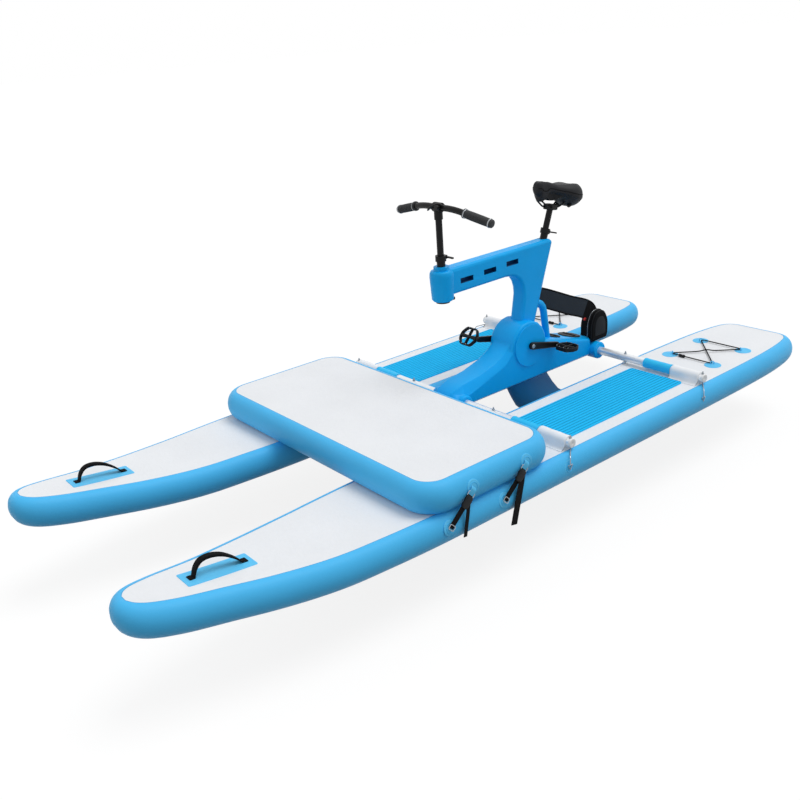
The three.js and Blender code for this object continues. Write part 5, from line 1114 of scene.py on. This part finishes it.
# %% [markdown]
# A seam runs round the saddle along its widest line, at one column of the saddle's own grid. Below
# it a plastic shell fills the hollow over the rails: the same grid, narrower, with its underside
# drawn down to a keel. Two rubber bumpers hang under the tail.

# %% Saddle seam, shell and bumpers
SEAM_COLUMNS, SEAM_WIRE = (1, 30), 1.5
SHELL_SHARES, SHELL_FORWARD, SHELL_SINK = (0.72, 0.93, 1), 2.0, 6
KEEL_AT, KEEL_HALF, KEEL_LEVEL, KEEL_PULL, SHELL_TOP = 0.36, 0.24, 26, 0.9, 70
BUMPER = [(9, -5), (11, -3), (11.5, 2), (10, 6), (6, 8), (1, 9)]
rim = saddle_grid(72, 64, 0.3)
left, right = [rim[3:-1, column] for column in SEAM_COLUMNS]
seam = on_seat(np.concatenate([left, right[::-1]]))
fit(skin("saddle_seam", swept(seam, oval(SEAM_WIRE, SEAM_WIRE, 8), (0, 0, 1))[:-1]),
    "seat", "saddle_cover", webbing)
shell = saddle_grid(48, 36)
share = shell[..., 1] / SADDLE_LENGTH + HEAD_SHARE
keel = np.clip(1 - ((share - KEEL_AT) / KEEL_HALF) ** 2, 0, 1)
inner = shell * SHELL_SHARES - np.array([0, SHELL_FORWARD, 0])
height = inner[..., 2]
inner[..., 2] = np.where(height < SHELL_TOP, height + (KEEL_LEVEL - height) * keel * KEEL_PULL,
                         height - SHELL_SINK)
fit(skin("saddle_shell", on_seat(inner), sharp=50), "seat", "saddle_cover", black_plastic)
for word, side in SIDES.items():
    spot = on_seat(np.array([side * 34.0, 88.0, 8.0]))
    fit(turned("saddle_bumper_" + word, BUMPER, spot, (side * 0.25, 0.55, -0.8), 28),
        "seat", "saddle_cover", black_plastic)
print("seam", round(float(np.linalg.norm(np.diff(seam, axis=0), axis=1).sum())), "mm long")

# %% [markdown]
# The belt pack is a stiff waist belt: a grey cloth panel with black piped edges, black at both ends,
# that curls down into a black pouch. The panel and the pouch are padded fabric, so both are crowned
# shells, with the piping laid over their seams as cords of its own.

# %% Belt panel and its piping
BELT_X, POUCH_X, BELT_HALF, BELT_ROWS = -21.8, 44.0, 46.0, 90
BELT = np.array([[0, 588, 358], [0, 646, 338], [0.5, 780, 278], [1, 896, 224], [1, 926, 160]])
BELT_THICK, BELT_CROWN, PIPING = 4.2, 0.9, (4.4, 6.2)
FOLD_THICK, NEAR_FOLD, FAR_FOLD = 1.3, 0.075, 0.7
line = smooth_path(BELT * (POUCH_X - BELT_X, 1, 1) + (BELT_X, 0, DECK), BELT_ROWS)
away = np.linspace(0, 1, BELT_ROWS)
folds = (away < NEAR_FOLD) + np.clip((away - FAR_FOLD) / 0.05, 0, 1)
thick = BELT_THICK + BELT_CROWN * np.sin(np.pi * away) + FOLD_THICK * folds
section = oval(1, 1, 44, 0.4)[None] * np.stack([np.full(BELT_ROWS, BELT_HALF - 1), thick], 1)[:, None]
black_rows = ((away < NEAR_FOLD) | (away > FAR_FOLD + 0.01)).astype(int)
panel = skin("belt_panel", swept(line, section, (1, 0, 0)), rows=black_rows)
fit(panel, "base", "webbing", belt_cloth, webbing, stands_for=["belt_pack"])
flat = unit(np.cross(unit(np.gradient(line, axis=0)), (1.0, 0, 0)))
for label, side in (("upper", 1), ("lower", -1)):
    edge = line + side * flat * (BELT_HALF - 3)
    fit(skin("belt_piping_" + label, swept(edge, oval(*PIPING, 16), (1, 0, 0))),
        "base", "webbing", webbing)
print("belt", round(float(np.linalg.norm(np.diff(line, axis=0), axis=1).sum())), "mm long")

# %% [markdown]
# The pouch is one outline, drawn in its side view and carried across: full in the middle, smaller
# towards both faces as 1 - k (1 - cos^0.55), and rippled by a product of two slow sine waves, as
# filled cloth is. It is flat underneath, where it rests. Air blown into a cloth shell would give
# truer folds, but the piping, zip and pocket are laid on the outline, and need to know where it is.

# %% Pouch
POUCH_FRONT, POUCH_BOTTOM, POUCH_DEPTH, POUCH_TALL, POUCH_HALF = 883.0, 454.3, 108.0, 146.0, 38.0
POUCH = np.array([
    [0, 0], [1, 0], [1.12, 0.35], [1.06, 0.72], [0.78, 1], [0.28, 0.98], [0.02, 0.7], [-0.04, 0.3]])
POUCH_POINTS, POUCH_NARROWS, RIPPLE = 96, 13 / 66, 0.012


def pouch_outline():
    """Closed smooth curve through the side's corners: the middle of three turns round them."""
    once = POUCH * (POUCH_DEPTH, POUCH_TALL)
    turns = smooth_path(np.concatenate([once, once, once, once[:1]]), 3 * POUCH_POINTS + 1)
    return np.maximum(turns[POUCH_POINTS:2 * POUCH_POINTS], (-np.inf, 0))


def in_pouch(x, side_view, floor):
    """Points of a side view put in the pouch's place, none lower than its floor."""
    y, z = POUCH_FRONT + side_view[..., 0], POUCH_BOTTOM + np.maximum(side_view[..., 1], floor)
    return np.stack([np.broadcast_to(POUCH_X + x, y.shape), y, z], -1)


loop = pouch_outline()
middle = loop.mean(0)
turn = np.linspace(-np.pi / 2, np.pi / 2, 33)
across = POUCH_HALF * np.sign(np.sin(turn)) * np.abs(np.sin(turn)) ** 0.62
size = 1 - POUCH_NARROWS * (1 - np.cos(turn) ** 0.55)
round_it = np.linspace(0, 2 * np.pi, len(loop))
ripple = 1 + RIPPLE * np.sin(7 * round_it)[None] * np.sin(2.4 * turn + 0.6)[:, None]
side_view = middle + (loop - middle)[None] * (size[:, None] * ripple)[..., None]
pouch = skin("belt_pouch", in_pouch(across[:, None], side_view, 0.2), sharp=70)
fit(pouch, "base", "webbing", webbing)
print("pouch", [round(v, 3) for v in pouch.dimensions])

# %% [markdown]
# Piping, a zip and its tapes go round the pouch. Each is a cord laid along the pouch's own outline
# at one distance across it, so it can't drift off the cloth, and a mesh pocket is a thin cushion on
# the near face.

# %% Pouch trim
POCKET_SHARE, POCKET_CROWN = 0.62, 2.4


def round_pouch(name, x, share, section, material):
    """Cord laid round the pouch at one distance across it."""
    path = in_pouch(x, middle + (loop - middle) * share, 1.2)
    grid = swept(np.concatenate([path, path[:2]]), section, (1, 0, 0))[1:-1]
    return fit(skin(name, grid, ring=True), "base", "webbing", material)


for label, x in (("near", 31), ("far", -31)):
    round_pouch("pouch_piping_" + label, x, 0.945, oval(2.4, 2.4, 12), black_plastic)
for label, x in (("near", 13.5), ("far", 4.5)):
    round_pouch("pouch_zip_tape_" + label, x, 1.0, oval(1.3, 3.4, 12, 0.5), black_plastic)
round_pouch("pouch_zip_teeth", 9.0, 1.004, oval(1.1, 1.4, 10), steel)
flatness = np.linspace(0, 1, 5)[:, None]
side_view = middle + ((loop - middle) * POCKET_SHARE)[None] * (1 - 0.06 * flatness[..., None] ** 2)
crown = POUCH_HALF - 0.8 + POCKET_CROWN * np.sin(flatness * np.pi / 2)
fit(skin("pouch_mesh_pocket", in_pouch(crown, side_view, -np.inf)), "base", "webbing", black_plastic)

# %% [markdown]
# A red pull tab hangs where the panel meets the pouch. It is a rounded block on a short strap: the
# section's height falls off as the fourth power towards both ends, which rounds them.

# %% Red tab on the pouch
TAB, TAB_REACH, TAB_HALF, TAB_DEPTH = np.array([46.0, 868.0, 573.0]), 11, 7.5, 4.5
d = np.linspace(-TAB_REACH, TAB_REACH, 12)
half_height = TAB_HALF * np.sqrt(1 - (d / (TAB_REACH + 1.5)) ** 4)
section = oval(1, 1, 24, 0.55)[None] * np.stack([half_height, np.full(len(d), TAB_DEPTH)], 1)[:, None]
fit(skin("red_tab", swept(TAB + d[:, None] * (0, 1, 0), section, (1, 0, 0)), sharp=60),
    "base", "webbing", red_tab)
strip = smooth_path(TAB + np.array([(0, 2, 0), (0, 13, -2), (0, 26, -6)]), 8)
fit(skin("red_tab_strap", swept(strip, oval(5, 1.4, 16, 0.4), (1, 0, 0))), "base", "webbing", webbing)
print("red tab at", TAB.tolist())

# %% [markdown]
# A pedal is an open cage: one rim bent round eight corners, a rib across it, a barrel on the axle and
# short pins that grip a shoe. The rim is a rounded section carried round the cage's outline. Each
# pedal is made flat in a frame of its own, then tipped and moved to the end of its crank arm.

# %% Pedals
PEDAL_X, PEDAL_LONG, PEDAL_WIDE, PEDAL_TALL = 152.4, 52.0, 45.0, 9.0
CRANK, CRANK_REACH, CRANK_ANGLE, PEDAL_TILTS = np.array([0, 448.0, 560.0]), 170, -12.8, {1: -2, -1: 48}
CAGE_CORNER, RIM_HALF, RIB_HALF, BARREL_RADIUS, BARREL_WAIST = 9, 3.6, 4.2, 8.6, 1.6
CAGE = np.array([[1, -0.33], [1, 0.33], [0.62, 1], [-0.62, 1]])
CAGE = np.concatenate([CAGE, -CAGE])
PINS = [(x, side * y) for side in (-1, 1) for x, y in ((-34, 34), (-12, 41), (12, 41), (34, 34))]
PIN_RADIUS, PIN_STAND, PIN_INSET = 1.9, 3, 0.98


def on_pedal(points, side):
    """Turns points in the pedal's own frame by its tilt and moves them to the crank arm's end."""
    tilt, arm = math.radians(PEDAL_TILTS[side]), math.radians(CRANK_ANGLE)
    c, s = math.cos(tilt), math.sin(tilt)
    x, y, z = np.moveaxis(points, -1, 0)
    reach = side * CRANK_REACH
    centre = CRANK + np.array([side * PEDAL_X, reach * math.cos(arm), reach * math.sin(arm)])
    return np.stack([x, y * c - z * s, y * s + z * c], -1) + centre


def pedal_rim():
    """Section carried round the cage; a row before and two after keep the closing joint smooth."""
    corners = np.column_stack([CAGE * (PEDAL_LONG - 4, PEDAL_WIDE - 4), np.zeros(len(CAGE))])
    start = (corners[-1] + corners[0]) / 2
    path = rounded_path([start, *corners, start], CAGE_CORNER, 5)[:-1]
    path = np.concatenate([path[-1:], path, path[:2]])
    return swept(path, oval(RIM_HALF, PEDAL_TALL, 20, 0.45), (0, 0, 1))[1:-2]


reach = np.array([0, PEDAL_WIDE - 5, 0])
rib = swept(np.linspace(-reach, reach, 12), oval(RIB_HALF, PEDAL_TALL - 2, 16, 0.45), (0, 0, 1))
reach = np.array([PEDAL_LONG - 5, 0, 0])
waist = BARREL_RADIUS + BARREL_WAIST * np.cos(np.linspace(0, 2 * np.pi, 24))
barrel = swept(np.linspace(-reach, reach, 24), oval(1, 1, 28)[None] * waist[:, None, None], (0, 0, 1))
for word, side in SIDES.items():
    body = word + "_pedal"
    fit(skin("pedal_rim_" + word, on_pedal(pedal_rim(), side), ring=True),
        body, "black_plastic", black_plastic, stands_for=["pedal_" + word])
    fit(skin("pedal_rib_" + word, on_pedal(rib, side)), body, "black_plastic", black_plastic)
    fit(skin("pedal_barrel_" + word, on_pedal(barrel, side)), body, "black_plastic", black_plastic)
    for i, (x, y) in enumerate(PINS):
        foot = np.array([x * PIN_INSET, y * PIN_INSET, -PEDAL_TALL - PIN_STAND])
        pin = swept(np.linspace(foot, foot * (1, 1, -1), 4), oval(PIN_RADIUS, PIN_RADIUS, 10), (0, 1, 0))
        fit(skin("pedal_pin_%d_%s" % (i, word), on_pedal(pin, side)), body, "steel", steel)
print("pedals", 2 * PEDAL_LONG, "by", 2 * PEDAL_WIDE, "mm")

# %% [markdown]
# The rigid parts already have their true shape in the solid model. A copy of each is merged, because
# a solid's mesh is loose triangles, its coplanar triangles are joined, and a bevel of about a
# millimetre rounds its edges, so that they catch the light as moulded and machined edges do.

# %% Dress the rigid parts
EDGES = {"black_plastic": 1.2, "black_metal": 0.9, "steel": 0.4, "body_plastic": 0.0, "leg_plastic": 1.5}
OTHER_EDGE, SHARP_ANGLE, FLAT_ANGLE, JOIN = 0.5, 34, 0.6, 0.02
OTHER_FINISH = {"saddle_rails": black_coat, "lid_large": black_plastic, "lid_small": black_plastic}


def dress(node, material, edge):
    """Copy of a node's mesh: doubles merged, flats joined, smoothed below an angle, edges bevelled."""
    mesh = bpy.data.meshes.new(node + "_form")
    work = bmesh.new()
    work.from_mesh(nodes[node].data)
    bmesh.ops.remove_doubles(work, verts=work.verts[:], dist=JOIN * MM)
    bmesh.ops.dissolve_limit(work, angle_limit=math.radians(FLAT_ANGLE), verts=work.verts[:],
                             edges=work.edges[:])
    work.to_mesh(mesh)
    work.free()
    mesh.polygons.foreach_set("use_smooth", [True] * len(mesh.polygons))
    mesh.set_sharp_from_angle(angle=math.radians(SHARP_ANGLE))
    piece = bpy.data.objects.new(node + "_form", mesh)
    bpy.context.scene.collection.objects.link(piece)
    if edge:
        bevel = piece.modifiers.new("edges", "BEVEL")
        bevel.width, bevel.segments, bevel.limit_method = edge * MM, 2, "ANGLE"
        bevel.angle_limit = math.radians(SHARP_ANGLE)
        bevel.miter_outer = "MITER_ARC"
    piece.modifiers.new("even shading", "WEIGHTED_NORMAL").keep_sharp = True
    return fit(piece, node_body[node], node_slot[node], material, stands_for=[node])


for node in sorted(set(nodes) - replaced):
    slot = node_slot[node]
    dress(node, OTHER_FINISH.get(node, slot_finish[slot]), EDGES.get(slot, OTHER_EDGE))

# %% [markdown]
# A steel bolt with a round head and a hollow in it holds each crank arm on its axle. It is turned
# from one profile, with a chamfer that catches the light.

# %% Crank bolts
BOLT_X = 96.2
BOLT = [(8.2, 0), (9.0, 0.8), (9.0, 2.6), (8.0, 3.6), (4.6, 3.6), (4.0, 1.4), (1, 1.4)]
for word, side in SIDES.items():
    fit(turned("crank_bolt_" + word, BOLT, CRANK + (side * BOLT_X, 0, 0), (side, 0, 0), 36),
        "crank", "steel", steel)
print("bolt heads", 2 * max(radius for radius, _ in BOLT), "mm across")

# %% [markdown]
# Last, the box of the dressed bike is worked out and printed, and both boxes are gathered in one table,
# so that it can be set against the box of the solids printed at the start, to see whether the dressing has kept to the
# bike's size.

# %% Box of the dressed bike
seen_low, seen_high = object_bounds()
sizes = {"cad_low": list(cad_low), "cad_high": list(cad_high), "seen_low": list(seen_low), "seen_high": list(seen_high)}
print("box of the dressed bike", [round(float(v), 3) for v in (*seen_low, *seen_high)])
